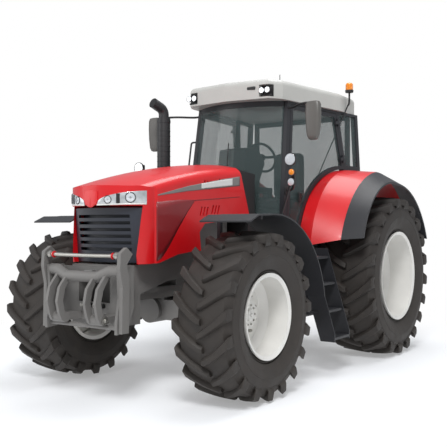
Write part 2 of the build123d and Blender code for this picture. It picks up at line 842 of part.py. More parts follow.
def in_cab_side(lines, outer, wall):
    """Solid of an outline in (y, z) between two faces parallel to the left side of the cab."""
    solid = extrude(Plane.YZ * make_face(lines), amount=1400)
    plane = Plane(
        origin=(C_BASE[0] - outer, C_BASE[1], C_BASE[2]),
        x_dir=(SIDE_TOE, 1, 0),
        z_dir=(-1, SIDE_TOE, -SIDE_LEAN),
    )
    return solid & extrude(plane * Rectangle(6000, 6000), amount=wall)


def polygon(points):
    """Closed outline of straight lines."""
    return list(Polyline(*points, close=True).edges())


def door_outline(inset):
    """Side view of the door: arched lower rear corner over the fender, sloping rear edge."""
    low_z = FLOOR_Z + inset
    top_z = DOOR_TOP_Z - inset
    lift = FENDER_WALL + DOOR_SILL_GAP + inset
    rear_low = DOOR_REAR_LOW_Y - inset
    radius = FENDER_BULGE_R + lift
    foot_y = FENDER_BULGE_Y - math.sqrt(radius**2 - (low_z - FENDER_BULGE_Z) ** 2)
    middle_y = FENDER_BULGE_Y - 0.72 * radius
    corner = (rear_low, arch_z(rear_low, lift))
    return [
        Line((door_front(low_z) + inset, low_z), (door_front(top_z) + inset, top_z)),
        Line((door_front(top_z) + inset, top_z), (door_rear(top_z) - inset, top_z)),
        Line((door_rear(top_z) - inset, top_z), corner),
        ThreePointArc(corner, (middle_y, arch_z(middle_y, lift)), (foot_y, low_z)),
        Line((foot_y, low_z), (door_front(low_z) + inset, low_z)),
    ]


def hinge_axis():
    """Two points on the left door hinge axis, low and high, outside the cab side."""
    points = []
    for z in (HINGE_LOW_Z, HINGE_HIGH_Z):
        y = door_rear(z) + DOOR_GAP / 2
        points.append((side_x(y, z) + HINGE_STAND_OFF, y, z))
    return points


def hinge_place(z):
    """Local frame of a hinge: z along the axis, x outwards, y to the rear."""
    low, high = hinge_axis()
    share = (z - HINGE_LOW_Z) / (HINGE_HIGH_Z - HINGE_LOW_Z)
    spot = [a + share * (b - a) for a, b in zip(low, high)]
    run = [b - a for a, b in zip(low, high)]
    rear = Vector(SIDE_TOE, 1, 0)
    outward = rear.cross(Vector(*run))
    return Plane(origin=spot, x_dir=outward, z_dir=run)


def door_frame():
    """Left door frame with its hinge leaves and handle."""
    frame = in_cab_side(door_outline(0), 0, PANEL_WALL)
    frame = frame - in_cab_side(door_outline(DOOR_RAIL), -20, PANEL_WALL + 40)
    for z in (HINGE_LOW_Z, HINGE_HIGH_Z):
        leaf = Pos(-4, -40, 0) * Box(2 * HINGE_STAND_OFF, 60, 40)
        leaf = leaf + Cylinder(HINGE_KNUCKLE_R, 40) - Cylinder(HINGE_PIN_R + PIN_GAP, 60)
        frame = frame + hinge_place(z) * leaf
    return frame


def door_glass():
    """Left door pane, seated in the frame."""
    return in_cab_side(door_outline(DOOR_RAIL + SEAM_GAP), 14, GLASS_WALL)


def cab_side_frame():
    """Left pillars, roof rail and waist rail of the cab, with the door hinge pins."""
    rear = CAB_REAR_Y
    front_post = polygon(
        [
            (screen_front(FLOOR_Z - FLOOR_WALL), FLOOR_Z - FLOOR_WALL),
            (screen_front(CAB_ROOF_Z), CAB_ROOF_Z),
            (screen_front(CAB_ROOF_Z) + PILLAR_WIDTH, CAB_ROOF_Z),
            (screen_front(FLOOR_Z - FLOOR_WALL) + PILLAR_WIDTH, FLOOR_Z - FLOOR_WALL),
        ]
    )
    waist_low = FENDER_TOP_Z + FENDER_WALL + SEAM_GAP
    rear_post = polygon(
        [
            (door_rear(waist_low) + DOOR_GAP, waist_low),
            (door_rear(CAB_ROOF_Z) + DOOR_GAP, CAB_ROOF_Z),
            (door_rear(CAB_ROOF_Z) + DOOR_GAP + PILLAR_WIDTH, CAB_ROOF_Z),
            (door_rear(waist_low) + DOOR_GAP + PILLAR_WIDTH, waist_low),
        ]
    )
    waist = polygon(
        [
            (door_rear(waist_low) + DOOR_GAP, waist_low),
            (door_rear(WAIST_Z) + DOOR_GAP, WAIST_Z),
            (rear, WAIST_Z),
            (rear, waist_low),
        ]
    )
    corner = polygon([(rear - 60, waist_low), (rear - 60, CAB_ROOF_Z), (rear, CAB_ROOF_Z), (rear, waist_low)])
    rail = polygon(
        [
            (screen_front(CAB_ROOF_Z), CAB_ROOF_Z),
            (screen_front(DOOR_TOP_Z + DOOR_GAP), DOOR_TOP_Z + DOOR_GAP),
            (rear, DOOR_TOP_Z + DOOR_GAP),
            (rear, CAB_ROOF_Z),
        ]
    )
    frame = in_cab_side(front_post, 0, PILLAR_DEPTH)
    for outline in (rear_post, waist, corner, rail):
        frame = frame + in_cab_side(outline, 0, PILLAR_DEPTH)
    for z in (HINGE_LOW_Z, HINGE_HIGH_Z):
        pin = Cylinder(HINGE_PIN_R, 96)
        for way in (1, -1):
            pin = pin + Pos(0, 0, way * 34) * Cylinder(HINGE_KNUCKLE_R, 27)
            pin = pin + Pos(-4, 20, way * 34) * Box(2 * HINGE_STAND_OFF, 32, 27)
        frame = frame + hinge_place(z) * pin
    return frame


def fender_line(inset):
    """Inner fender line in (y, z) from the front foot over the top to the rear, drawn in."""
    radius = FENDER_BULGE_R - inset
    foot_z = FENDER_FOOT_Z
    foot_y = FENDER_BULGE_Y - math.sqrt(radius**2 - (foot_z - FENDER_BULGE_Z) ** 2)
    middle_y = FENDER_BULGE_Y - 0.7 * radius
    middle_z = FENDER_BULGE_Z + math.sqrt(radius**2 - (middle_y - FENDER_BULGE_Y) ** 2)
    top = (FENDER_BULGE_Y, FENDER_BULGE_Z + radius)
    end = (FENDER_REAR_Y - inset, FENDER_REAR_Z)
    return [
        ThreePointArc((foot_y, foot_z), (middle_y, middle_z), top),
        TangentArc(top, end, tangent=(1, 0)),
    ]


def curved_line(start, middle, top, end):
    """Fender line through a front foot and a middle point to its top, then to the rear."""
    return [ThreePointArc(start, middle, top), TangentArc(top, end, tangent=(1, 0))]


def band(outer, inner):
    """Closed outline between two fender lines."""
    return outer + inner + [
        Line(outer[0] @ 0, inner[0] @ 0),
        Line(outer[-1] @ 1, inner[-1] @ 1),
    ]


def seam_line(inset):
    """Fender line at the seam between the red fender and the black flare."""
    return curved_line(
        (-1180 + inset, 1480),
        (-905 + 0.7 * inset, 1925 - 0.7 * inset),
        (-150, 2306 - inset),
        (FENDER_REAR_Y - 10 - inset, FENDER_REAR_Z - 20),
    )


def lip_line(inset):
    """Fender line at the outer lip of the flare."""
    return curved_line(
        (-1130 + inset, 1500),
        (-810 + 0.7 * inset, 1975 - 0.7 * inset),
        (-90, 2150 - inset),
        (FENDER_REAR_Y - 50 - inset, FENDER_REAR_Z - 40),
    )


def on_side(x, lines):
    """Face of an outline in (y, z) at a distance from the middle of the machine."""
    return Plane.YZ.offset(x) * make_face(lines)


def rear_fender():
    """Left rear fender: shell over the tyre from the wheel wall out to the seam."""
    inner = band(fender_line(-FENDER_WALL), fender_line(0))
    seam = band(seam_line(-FENDER_WALL), seam_line(0))
    root_x = WHEEL_WALL_X + PANEL_WALL + SEAM_GAP
    root = extrude(on_side(root_x, inner), amount=FENDER_INNER_X - root_x)
    slope = loft([on_side(FENDER_INNER_X, inner), on_side(FENDER_SEAM_X, seam)], ruled=True)
    return root + slope


def fender_flare():
    """Left black flare, from the seam out to its lip."""
    seam = band(seam_line(-FENDER_WALL), seam_line(0))
    lip = band(lip_line(-FENDER_WALL), lip_line(0))
    flare = loft(
        [on_side(FENDER_SEAM_X + SEAM_GAP, seam), on_side(FLARE_OUTER_X, lip)], ruled=True
    )
    return flare


def cab_frame():
    """Cab frame: floor, side frames, wheel walls, rear wall, firewall and front header."""
    rear = CAB_REAR_Y
    low = FLOOR_Z - FLOOR_WALL
    front = screen_front(low)
    notch = -1390
    wide_front = side_x(front, low)
    wide_rear = side_x(notch, low)
    floor = plan_plate(
        [
            (-wide_front, front),
            (wide_front, front),
            (wide_rear, notch),
            (WHEEL_WALL_X, notch),
            (WHEEL_WALL_X, rear),
            (-WHEEL_WALL_X, rear),
            (-WHEEL_WALL_X, notch),
            (-wide_rear, notch),
        ],
        low,
        FLOOR_Z,
    )
    frame = floor
    arch = fender_line(0.3)
    under = make_face(
        arch + [
            Line(arch[0] @ 0, ((arch[0] @ 0).X, low)),
            Line(((arch[0] @ 0).X, low), (FENDER_REAR_Y, low)),
            Line((FENDER_REAR_Y, low), arch[1] @ 1),
        ]
    )
    wall = extrude(Plane.YZ.offset(WHEEL_WALL_X) * under, amount=PANEL_WALL)
    wall = wall & block(0, 900, -2000, rear, low, 2600)
    cap = block(WHEEL_WALL_X, WHEEL_WALL_X + PANEL_WALL, FENDER_BULGE_Y, rear, 2200, 2500)
    side = cab_side_frame() + wall
    ledge_low = FENDER_TOP_Z + FENDER_WALL + SEAM_GAP
    ledge = block(WHEEL_WALL_X - 20, side_x(rear, WAIST_Z) - 20, rear - 40, rear, ledge_low, WAIST_Z)
    post = block(WHEEL_WALL_X - 20, WHEEL_WALL_X + PANEL_WALL, rear - 40, rear, low, CAB_ROOF_Z)
    side = side + ledge + post
    frame = frame + side + mirror(side, about=Plane.YZ)
    frame = frame + block(-WHEEL_WALL_X, WHEEL_WALL_X, rear - 40, rear, low, REAR_SILL_Z)
    frame = frame + block(
        -WHEEL_WALL_X, WHEEL_WALL_X, rear - 40, rear, CAB_ROOF_Z - HEADER_HEIGHT, CAB_ROOF_Z
    )
    firewall = screen_band(SCREEN_LOW, 40)
    frame = frame + extrude(Plane.XY.offset(low) * firewall, amount=SCREEN_LOW_Z - low)
    header = screen_band(SCREEN_TOP, 60)
    frame = frame + extrude(Plane.XY.offset(CAB_ROOF_Z - HEADER_HEIGHT) * header, amount=HEADER_HEIGHT)
    return frame


def screen_band(chord, wall):
    """Curved strip in plan, its front face on the windscreen's outer face."""
    return arc_band(*chord, wall)


def arc_band(half, end_y, centre_y, wall):
    """Strip between two arcs in plan, from side to side, its thickness given by the wall."""
    return make_face(
        [
            ThreePointArc((-half, end_y), (0, centre_y), (half, end_y)),
            Line((half, end_y), (half, end_y + wall)),
            ThreePointArc((half, end_y + wall), (0, centre_y + wall), (-half, end_y + wall)),
            Line((-half, end_y + wall), (-half, end_y)),
        ]
    )


def windscreen():
    """Curved windscreen between the firewall and the front header."""
    low = Plane.XY.offset(SCREEN_LOW_Z) * screen_band(SCREEN_LOW, GLASS_WALL)
    top = Plane.XY.offset(CAB_ROOF_Z - HEADER_HEIGHT) * screen_band(SCREEN_TOP, GLASS_WALL)
    return loft([low, top], ruled=True)


def rear_window():
    """Rear pane between the rear wall, the header and the corner posts."""
    y = CAB_REAR_Y
    half = WHEEL_WALL_X - 20 - SEAM_GAP
    return block(-half, half, y - 30, y - 30 + GLASS_WALL, REAR_SILL_Z, CAB_ROOF_Z - HEADER_HEIGHT)


def quarter_windows():
    """Pane behind each door, between the rear door pillar and the corner."""
    rear = CAB_REAR_Y - 60 - SEAM_GAP
    offset = DOOR_GAP + PILLAR_WIDTH + SEAM_GAP
    top = DOOR_TOP_Z + DOOR_GAP - SEAM_GAP
    low = WAIST_Z + SEAM_GAP
    pane = polygon(
        [(door_rear(low) + offset, low), (rear, low), (rear, top), (door_rear(top) + offset, top)]
    )
    return both_sides(in_cab_side(pane, 14, GLASS_WALL))


def cab_roof():
    """Light roof moulding with rounded upper edges and lamp pockets at the front corners."""
    outline = [
        (-560, -1760),
        (0, -1830),
        (560, -1760),
        (660, -1600),
        (830, -420),
        (800, 60),
        (640, 165),
        (-640, 165),
        (-800, 60),
        (-830, -420),
        (-660, -1600),
    ]
    slab = plan_plate(outline, CAB_ROOF_Z, ROOF_TOP_Z)
    slab = fillet(slab.faces().sort_by(Axis.Z)[-1].edges(), 70)
    for side in (1, -1):
        low, high = sorted((side * 440, side * 600))
        slab = slab - block(low, high, -1900, ROOF_POCKET_Y, 3130, 3270)
    return slab


def work_lamps():
    """Roof lamps in the pockets of the roof, and the lamp posts at the cab's front corners."""
    lamps = []
    for side in (1, -1):
        roof_lamp = bar_y(62, side * 520, -1790, ROOF_POCKET_Y - SEAM_GAP, 3198)
        lamps.append(roof_lamp)
        y_start = screen_front(2050) + 24
        x_start = side_x(y_start, 2050)
        post = tube(
            [
                (side * (x_start + 3), y_start, 2050),
                (side * (x_start + 60), y_start, 2050),
                (side * 1060, -2060, 2050),
                (side * 1060, -2060, 2455),
            ],
            15,
            40,
        )
        lamp = bar_y(70, side * 1060, -2150, -2060, 2350)
        flasher = bar_y(38, side * 1060, -2120, -2060, 2215)
        small = bar_y(44, side * 1060, -2130, -2060, 2110)
        lamps.append(post + lamp + flasher + small)
    return Part(children=lamps)


def mirrors():
    """Two wide mirrors on arms from the front pillars."""
    z = 3025
    y_start = screen_front(z) + 24
    radius = 13
    foot_x = side_x(y_start, z) + radius * math.hypot(SIDE_TOE, SIDE_LEAN) + SEAM_GAP
    arm = tube(
        [(foot_x, y_start, z), (foot_x + 80, y_start, z), (900, -1650, z), (1130, -1750, z)],
        radius,
        30,
    )
    housing = block(1040, 1220, -1800, -1705, 2585, z)
    housing = fillet(housing.edges().filter_by(Axis.Y), 30)
    return both_sides(arm + housing)


def exhaust():
    """Upright exhaust at the right front corner of the cab, with a bent tip."""
    x = -800
    y = -1985
    stack = bar_z(80, x, y, 1700, 2960)
    tip = tube([(x, y, 2950), (x, y, 3060), (x - 30, y - 170, 3130)], 62, 90)
    low, high = x + 60, -COWL_HALF_WIDTH - SEAM_GAP
    stack = stack + tip
    for z in (1800, 2120):
        stack = stack + block(low, high, y - 30, y + 30, z, z + 60)
    return stack


def beacon():
    """Amber beacon on a stalk at the rear left edge of the roof."""
    x = 868
    y = -240
    stalk = tube([(820, y, 3200), (x, y, 3200), (x, y, 3390)], 12, 30)
    stalk = stalk + bar_z(56, x, y, 3380, 3395) + bar_z(50, x, y, 3390, 3500)
    return stalk


def antenna():
    """Rod aerial on the roof."""
    y = -530
    return bar_z(22, 0, y, ROOF_TOP_Z, ROOF_TOP_Z + 25) + bar_z(5, 0, y, ROOF_TOP_Z + 20, 3650)


def grab_rail():
    """Hand rail at the right front pillar."""
    z_low, z_high = 2140, 2700
    y_low = screen_front(z_low) + 10
    y_high = screen_front(z_high) + 10
    points = [
        (-side_x(y_low, z_low) - 2.4, y_low, z_low),
        (-side_x(y_low, z_low) - 70, y_low, z_low),
        (-side_x(y_high, z_high) - 70, y_high, z_high),
        (-side_x(y_high, z_high) - 2.4, y_high, z_high),
    ]
    return tube(points, 11, 25)


def console():
    """Dash console with its hood, and the steering column."""
    body = side_plate(
        [
            (-1700, FLOOR_Z),
            (-1440, FLOOR_Z),
            (-1400, 2100),
            (-1230, 2420),
            (-1420, 2600),
            (-1660, 2560),
            (-1700, 2300),
        ],
        -190,
        190,
    )
    body = fillet(body.edges().filter_by(Axis.X).sort_by(Axis.Z)[-3:], 40)
    column = tube([(0, -1350, 2330), STEERING_SEAT], 30, 10)
    return body + column


def steering_wheel():
    """Steering wheel on its column."""
    ring = Torus(STEERING_WHEEL_R, 16)
    hub = Pos(0, 0, -6) * Cylinder(46, 36)
    for angle in (90, 210, 330):
        hub = hub + Rot(0, 0, angle) * Pos(STEERING_WHEEL_R / 2, 0, 0) * Box(STEERING_WHEEL_R, 30, 12)
    direction = Vector(*STEERING_SEAT) - Vector(0, -1350, 2330)
    plane = Plane(origin=STEERING_SEAT, z_dir=direction)
    return plane * (Pos(0, 0, 24.3) * (ring + hub))


def seat_base():
    """Seat suspension, frame and right armrest."""
    base = block(-170, 170, -720, -280, FLOOR_Z, FLOOR_Z + 200)
    top = block(-230, 230, -780, -230, FLOOR_Z + 200, SEAT_Z)
    back = block(-150, 150, -230, -200, FLOOR_Z + 260, 2350)
    armrest = block(-330, -252, -860, -300, 2080, 2160) + block(-330, -252, -420, -300, 1790, 2090)
    bracket = block(-330, -229, -420, -300, 1790, SEAT_Z)
    return base + top + back + armrest + bracket


def seat_pads():
    """Seat cushion and backrest."""
    cushion = block(-250, 250, -800, -260, SEAT_Z + 0.3, SEAT_Z + 130)
    cushion = fillet(cushion.edges().filter_by(Axis.Z), 60)
    back = block(-240, 240, -345, -230.3, SEAT_Z + 131, 2640)
    back = fillet(back.edges().filter_by(Axis.Y), 70)
    return Part(children=[cushion, back])


def fuel_tank():
    """Left fuel tank under the cab, hung from the front mount bar, with the cab steps."""
    top = HOUSING_TOP_Z - MOUNT_BAR_HEIGHT - SEAM_GAP
    tank = block(310, 735, -1830, -640, 540, top)
    tank = fillet(tank.edges().filter_by(Axis.Y), 60)
    for y in (STEP_FRONT_Y, STEP_REAR_Y):
        stringer = front_plate(
            [
                (960, 1385),
                (1110, 1385),
                (1385, 470),
                (1385, 378),
                (1215, 378),
                (960, 1180),
            ],
            y - 7,
            y + 7,
        )
        tank = tank + stringer + bar_x(16, 730, 1000, y, 1150) + bar_x(16, 730, 1180, y, 700)
    for z, x in ((400, 1300), (690, 1215), (980, 1130), (1270, 1045)):
        tread = block(x - 85, x + 85, STEP_FRONT_Y, STEP_REAR_Y, z, z + 26)
        tank = tank + tread
    return tank


def service_box():
    """Right hand box under the cab for battery and tools, with one step."""
    top = HOUSING_TOP_Z - MOUNT_BAR_HEIGHT - SEAM_GAP
    box = block(-735, -310, -1830, -1040, 560, top)
    box = fillet(box.edges().filter_by(Axis.Y), 50)
    return box + block(-1000, -730, -1740, -1360, 640, 670)


def lower_links():
    """Both lower links with the sleeve that joins them on the pivot pin."""
    links = []
    for side in (1, -1):
        low, high = sorted((side * (LINK_X - LINK_WIDTH / 2), side * (LINK_X + LINK_WIDTH / 2)))
        end_y = REAR_OVERHANG - LINK_BALL_R
        half = LINK_HEIGHT / 2
        bar = side_plate(
            [
                (LINK_PIVOT_Y, LINK_PIVOT_Z - half),
                (end_y, LINK_END_Z - half),
                (end_y, LINK_END_Z + half),
                (LINK_PIVOT_Y, LINK_PIVOT_Z + half),
            ],
            low,
            high,
        )
        bar = bar + bar_x(half + 6, low, high, LINK_PIVOT_Y, LINK_PIVOT_Z)
        bar = bar + bar_x(LINK_BALL_R, low - 6, high + 6, end_y, LINK_END_Z)
        bar = bar - bar_x(LINK_BORE_R, low - 20, high + 20, end_y, LINK_END_Z)
        bar = bar - bar_x(LINK_PIN_R + PIN_GAP, low - 20, high + 20, LINK_PIVOT_Y, LINK_PIVOT_Z)
        links.append(bar)
    stay = bar_x(18, -LINK_X, LINK_X, LINK_PIVOT_Y + 225, LINK_PIVOT_Z + 18)
    return links[0] + links[1] + stay


def lift_arms():
    """Rocker shaft with a lift arm at each end and the pins for the lift rods."""
    arms = bar_x(
        LIFT_SHAFT_R, -LIFT_ARM_X - LIFT_ARM_WALL, LIFT_ARM_X + LIFT_ARM_WALL, LIFT_SHAFT_Y, LIFT_SHAFT_Z
    )
    for side in (1, -1):
        low, high = sorted((side * LIFT_ARM_X, side * (LIFT_ARM_X + LIFT_ARM_WALL)))
        plate = side_plate(
            [
                (LIFT_SHAFT_Y - 50, LIFT_SHAFT_Z - 40),
                (LIFT_SHAFT_Y + 60, LIFT_SHAFT_Z - 60),
                (ROD_Y + 30, ROD_TOP_Z - 30),
                (ROD_Y + 30, ROD_TOP_Z + 30),
                (ROD_Y - 30, ROD_TOP_Z + 34),
                (LIFT_SHAFT_Y - 30, LIFT_SHAFT_Z + 60),
            ],
            low,
            high,
        )
        pin_low, pin_high = sorted((side * LIFT_ARM_X, side * (ROD_X + ROD_WALL / 2 + 8)))
        arms = arms + plate + bar_x(ROD_PIN_R, pin_low, pin_high, ROD_Y, ROD_TOP_Z)
    return arms


def lift_rods():
    """Two upright lift rods, hung from the arms and ending beside the lower links."""
    rods = []
    for side in (1, -1):
        x = side * ROD_X
        half = ROD_WALL / 2
        rod = bar_z(15, x, ROD_Y, LINK_ROD_Z + 16, ROD_TOP_Z - 16) + bar_z(26, x, ROD_Y, 900, 1250)
        for z in (LINK_ROD_Z, ROD_TOP_Z):
            rod = rod + bar_x(32, x - half, x + half, ROD_Y, z)
            if z == LINK_ROD_Z:
                outer = LINK_X - LINK_WIDTH / 2 - RUNNING_GAP
                near, far = sorted((x, side * outer))
                rod = rod + bar_x(32, near, far, ROD_Y, z)
            rod = rod - bar_x(ROD_PIN_R + PIN_GAP, x - 40, x + 40, ROD_Y, z)
        rods.append(rod)
    return Part(children=rods)


def rear_hitch():
    """Rear face plate with link pin, drawbar, power take-off stub and top link."""
    face = REAR_FACE_Y + SEAM_GAP
    plate = block(-260, 260, face, face + 45, 560, 1240)
    plate = plate + block(-260, 260, face, LINK_PIVOT_Y + 45, LINK_PIVOT_Z - 50, LINK_PIVOT_Z + 50)
    end = LINK_X + LINK_WIDTH / 2 + 12
    plate = plate + bar_x(LINK_PIN_R, -end, end, LINK_PIVOT_Y, LINK_PIVOT_Z)
    plate = plate + block(-45, 45, face, face + 90, DRAWBAR_Z - 30, 600)
    bar = block(-45, 45, face, DRAWBAR_END_Y, DRAWBAR_Z - 25, DRAWBAR_Z + 25)
    bar = bar - bar_z(DRAWBAR_PIN_R, 0, DRAWBAR_END_Y - 55, DRAWBAR_Z - 60, DRAWBAR_Z + 60)
    plate = plate + bar
    plate = plate + bar_y(60, 0, face + 40, face + 70, PTO_Z)
    plate = plate + bar_y(PTO_R, 0, face + 40, face + 70 + PTO_LENGTH, PTO_Z)
    ear = TOP_LINK_HALF_EYE + RUNNING_GAP
    for x in (-ear - 20, ear):
        plate = plate + block(x, x + 20, face, TOP_LINK_Y + 36, TOP_LINK_Z - 45, TOP_LINK_Z + 45)
    return plate + bar_x(TOP_LINK_PIN_R, -ear - 20, ear + 20, TOP_LINK_Y, TOP_LINK_Z)


def top_link():
    """Top link between its two eyes, thicker over the turnbuckle."""
    start = (0, TOP_LINK_Y, TOP_LINK_Z)
    end = (0, TOP_LINK_Y + TOP_LINK_REACH, TOP_LINK_Z + TOP_LINK_RISE)
    half = TOP_LINK_HALF_EYE
    link = tube([start, end], 19, 10)
    middle = [tuple(a + share * (b - a) for a, b in zip(start, end)) for share in (0.28, 0.72)]
    link = link + tube(middle, 29, 10)
    for _, y, z in (start, end):
        link = link + bar_x(36, -half, half, y, z)
    link = link - bar_x(TOP_LINK_PIN_R + PIN_GAP, -90, 90, start[1], start[2])
    return link - bar_x(TOP_LINK_BORE_R, -90, 90, end[1], end[2])


def linkage_frame():
    """Front linkage frame: mounting plate, cheeks, bowed yoke tube, curved ribs and noses."""
    back = FRAME_FRONT_Y
    frame = block(-FRONT_CHEEK_X - 5, FRONT_CHEEK_X + 5, back - 40, back - SEAM_GAP, 760, 1260)
    frame = frame - block(-200, 200, back - 60, back + 10, 930, 1160)
    for side in (1, -1):
        low, high = sorted((side * FRONT_CHEEK_X, side * (FRONT_CHEEK_X + FRONT_CHEEK_WALL)))
        cheek = side_plate(
            [
                (back - 5, 1275),
                (back - 5, 900),
                (FRONT_PIVOT_Y + 70, 690),
                (FRONT_PIVOT_Y - 60, 680),
                (FRONT_PIVOT_Y - 62, 780),
                (FRONT_PIVOT_Y - 20, 1000),
                (FRONT_PIVOT_Y - 40, 1275),
            ],
            low,
            high,
        )
        hole = bar_x(FRONT_PIN_R + PIN_GAP, low - 10, high + 10, FRONT_PIVOT_Y, FRONT_PIVOT_Z)
        frame = frame + cheek - hole
    yoke = tube(
        [
            (-FRONT_CHEEK_X - 5, -4110, 1235),
            (-330, -4130, 1235),
            (-200, -4150, 1180),
            (200, -4150, 1180),
            (330, -4130, 1235),
            (FRONT_CHEEK_X + 5, -4110, 1235),
        ],
        YOKE_TUBE_R,
        60,
    )
    frame = frame + yoke
    front = LINKAGE_FRONT_Y
    for x in (-320, -190, 160, 290):
        rib = side_plate(
            [
                (-4120, 1190),
                (front + 130, 1200),
                (front + 30, 1080),
                (front, 950),
                (front + 30, 830),
                (front + 60, 770),
                (-4150, 770),
                (front + 90, 860),
                (front + 70, 960),
                (front + 100, 1070),
            ],
            x,
            x + 30,
        )
        frame = frame + rib
    for side in (1, -1):
        low, high = sorted((side * 160, side * 320))
        nose = bar_x(48, low, high, -4195, 800)
        stay = block(low, high, -4190, back - 20, 770, 830)
        frame = frame + nose + stay
    return frame


def front_lift_arms():
    """Lower links of the front linkage folded upright, joined by their pivot shaft."""
    end = FRONT_ARM_X + FRONT_ARM_WALL
    arms = bar_x(FRONT_PIN_R, -end, end, FRONT_PIVOT_Y, FRONT_PIVOT_Z)
    for side in (1, -1):
        low, high = sorted((side * FRONT_ARM_X, side * end))
        arm = side_plate(
            [
                (FRONT_PIVOT_Y + 45, FRONT_PIVOT_Z - 40),
                (FRONT_PIVOT_Y + 55, 1150),
                (FRONT_PIVOT_Y + 20, 1300),
                (FRONT_PIVOT_Y + 95, 1390),
                (FRONT_PIVOT_Y + 20, 1450),
                (FRONT_PIVOT_Y - 60, 1400),
                (FRONT_PIVOT_Y - 70, 1260),
                (FRONT_PIVOT_Y - 35, 1100),
                (FRONT_PIVOT_Y - 45, FRONT_PIVOT_Z - 40),
            ],
            low,
            high,
        )
        arms = arms + arm
    return arms


def build_nodes():
    """Every sub-part by its name."""
    nodes = {}
    for name, side in (("left", 1), ("right", -1)):
        nodes["tyre_front_" + name], nodes["rim_front_" + name] = front_wheel(side)
        nodes["tyre_rear_" + name], nodes["rim_rear_" + name] = rear_wheel(side)
    for name, maker in (
        ("knuckle", knuckle),
        ("front_fender", front_fender),
        ("door_frame", door_frame),
        ("door_glass", door_glass),
        ("rear_fender", rear_fender),
        ("fender_flare", fender_flare),
    ):
        left = maker()
        nodes[name + "_left"] = left
        nodes[name + "_right"] = mirror(left, about=Plane.YZ)
    for maker in (
        front_axle,
        steering_rod,
        front_frame,
        engine,
        transmission,
        rear_axle,
        hood_shell,
        grille,
        headlamps,
        bulkhead,
        cab_frame,
        windscreen,
        rear_window,
        quarter_windows,
        cab_roof,
        work_lamps,
        mirrors,
        exhaust,
        beacon,
        antenna,
        grab_rail,
        console,
        steering_wheel,
        seat_base,
        seat_pads,
        fuel_tank,
        service_box,
        lower_links,
        lift_arms,
        lift_rods,
        rear_hitch,
        top_link,
        linkage_frame,
        front_lift_arms,
    ):
        nodes[maker.__name__] = maker()
    return nodes


os.makedirs("parts", exist_ok=True)
for node_name, solid in build_nodes().items():
    export_step(Pos(0, -ORIGIN_Y, 0) * solid, "parts/" + node_name + ".step")
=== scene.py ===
"""Looks of a farm tractor: finishes, tyres, lamps, trim, cab fittings and the studio around it."""

import json
import logging
import math
from dataclasses import dataclass, field
from enum import Enum

import bmesh
import bpy
import numpy as np
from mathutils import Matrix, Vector


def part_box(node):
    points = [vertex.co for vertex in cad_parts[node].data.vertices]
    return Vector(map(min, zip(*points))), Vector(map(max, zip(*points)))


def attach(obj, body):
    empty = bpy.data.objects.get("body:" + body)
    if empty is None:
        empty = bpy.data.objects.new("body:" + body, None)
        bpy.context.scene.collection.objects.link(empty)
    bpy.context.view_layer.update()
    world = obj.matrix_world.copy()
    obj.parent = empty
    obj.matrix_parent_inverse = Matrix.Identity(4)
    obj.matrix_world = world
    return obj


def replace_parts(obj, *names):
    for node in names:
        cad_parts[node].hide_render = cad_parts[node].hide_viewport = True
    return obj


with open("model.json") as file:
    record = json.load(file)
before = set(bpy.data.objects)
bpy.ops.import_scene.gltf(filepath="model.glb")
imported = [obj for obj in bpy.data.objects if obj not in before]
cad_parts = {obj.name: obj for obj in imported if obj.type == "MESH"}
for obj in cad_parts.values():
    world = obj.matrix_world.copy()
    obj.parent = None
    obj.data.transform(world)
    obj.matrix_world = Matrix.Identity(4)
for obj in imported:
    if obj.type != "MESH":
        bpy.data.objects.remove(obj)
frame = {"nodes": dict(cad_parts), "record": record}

LOG = logging.getLogger("tractor")
LEFT, RIGHT = 1, -1
SIDES = {LEFT: "left", RIGHT: "right"}
AXLE_Y = 1.5015
FULL_TURN = 2 * math.pi


class Finish(Enum):
    """Every finish on the machine."""

    RED = "red paint"
    # painted shade: a dark red that stands in for the shade in the hood side's recess and along its crease
    PAINTED_SHADE_RED = "painted shade red"
    WHITE_RIM = "white rim paint"
    GREY = "grey chassis paint"
    LIGHT_GREY = "light grey linkage paint"
    CHARCOAL = "charcoal moulding"
    BLACK = "black moulding"
    BLACK_METAL = "black painted metal"
    RUBBER = "tyre rubber"
    ROOF = "pale roof moulding"
    STEEL = "bare steel"
    CHROME = "bright reflector"
    LENS = "clear lamp lens"
    AMBER = "amber lens"
    GLASS = "tinted cab glass"
    FABRIC = "seat fabric"
    STRIPE = "grey stripe film"
    STRIPE_PALE = "pale stripe film"
    TURQUOISE = "turquoise cap"
    MIRROR = "mirror housing"
    REFLECTOR = "silver lamp housing"
    NAVY = "dark blue grey moulding"


@dataclass(frozen=True)
class Coat:
    """One finish with the sizes of its grain and the dust that lies on it.

    Args:
        colour: Base colour, linear red, green and blue.
        rough: Mean roughness.
        metal: Metallic share.
        coat: Weight of the clear coat.
        grain: Features of the fine relief per metre.
        relief: Height of the fine relief in metres.
        patch: Features of the tone change per metre.
        tone: Share by which the colour changes over the patches.
        dust: Share of dust at ground level.
        alpha: Opacity.
    """

    colour: tuple[float, float, float]
    rough: float = 0.5
    metal: float = 0.0
    coat: float = 0.0
    grain: float = 600.0
    relief: float = 0.0002
    patch: float = 3.0
    tone: float = 0.12
    dust: float = 0.15
    alpha: float = 1.0


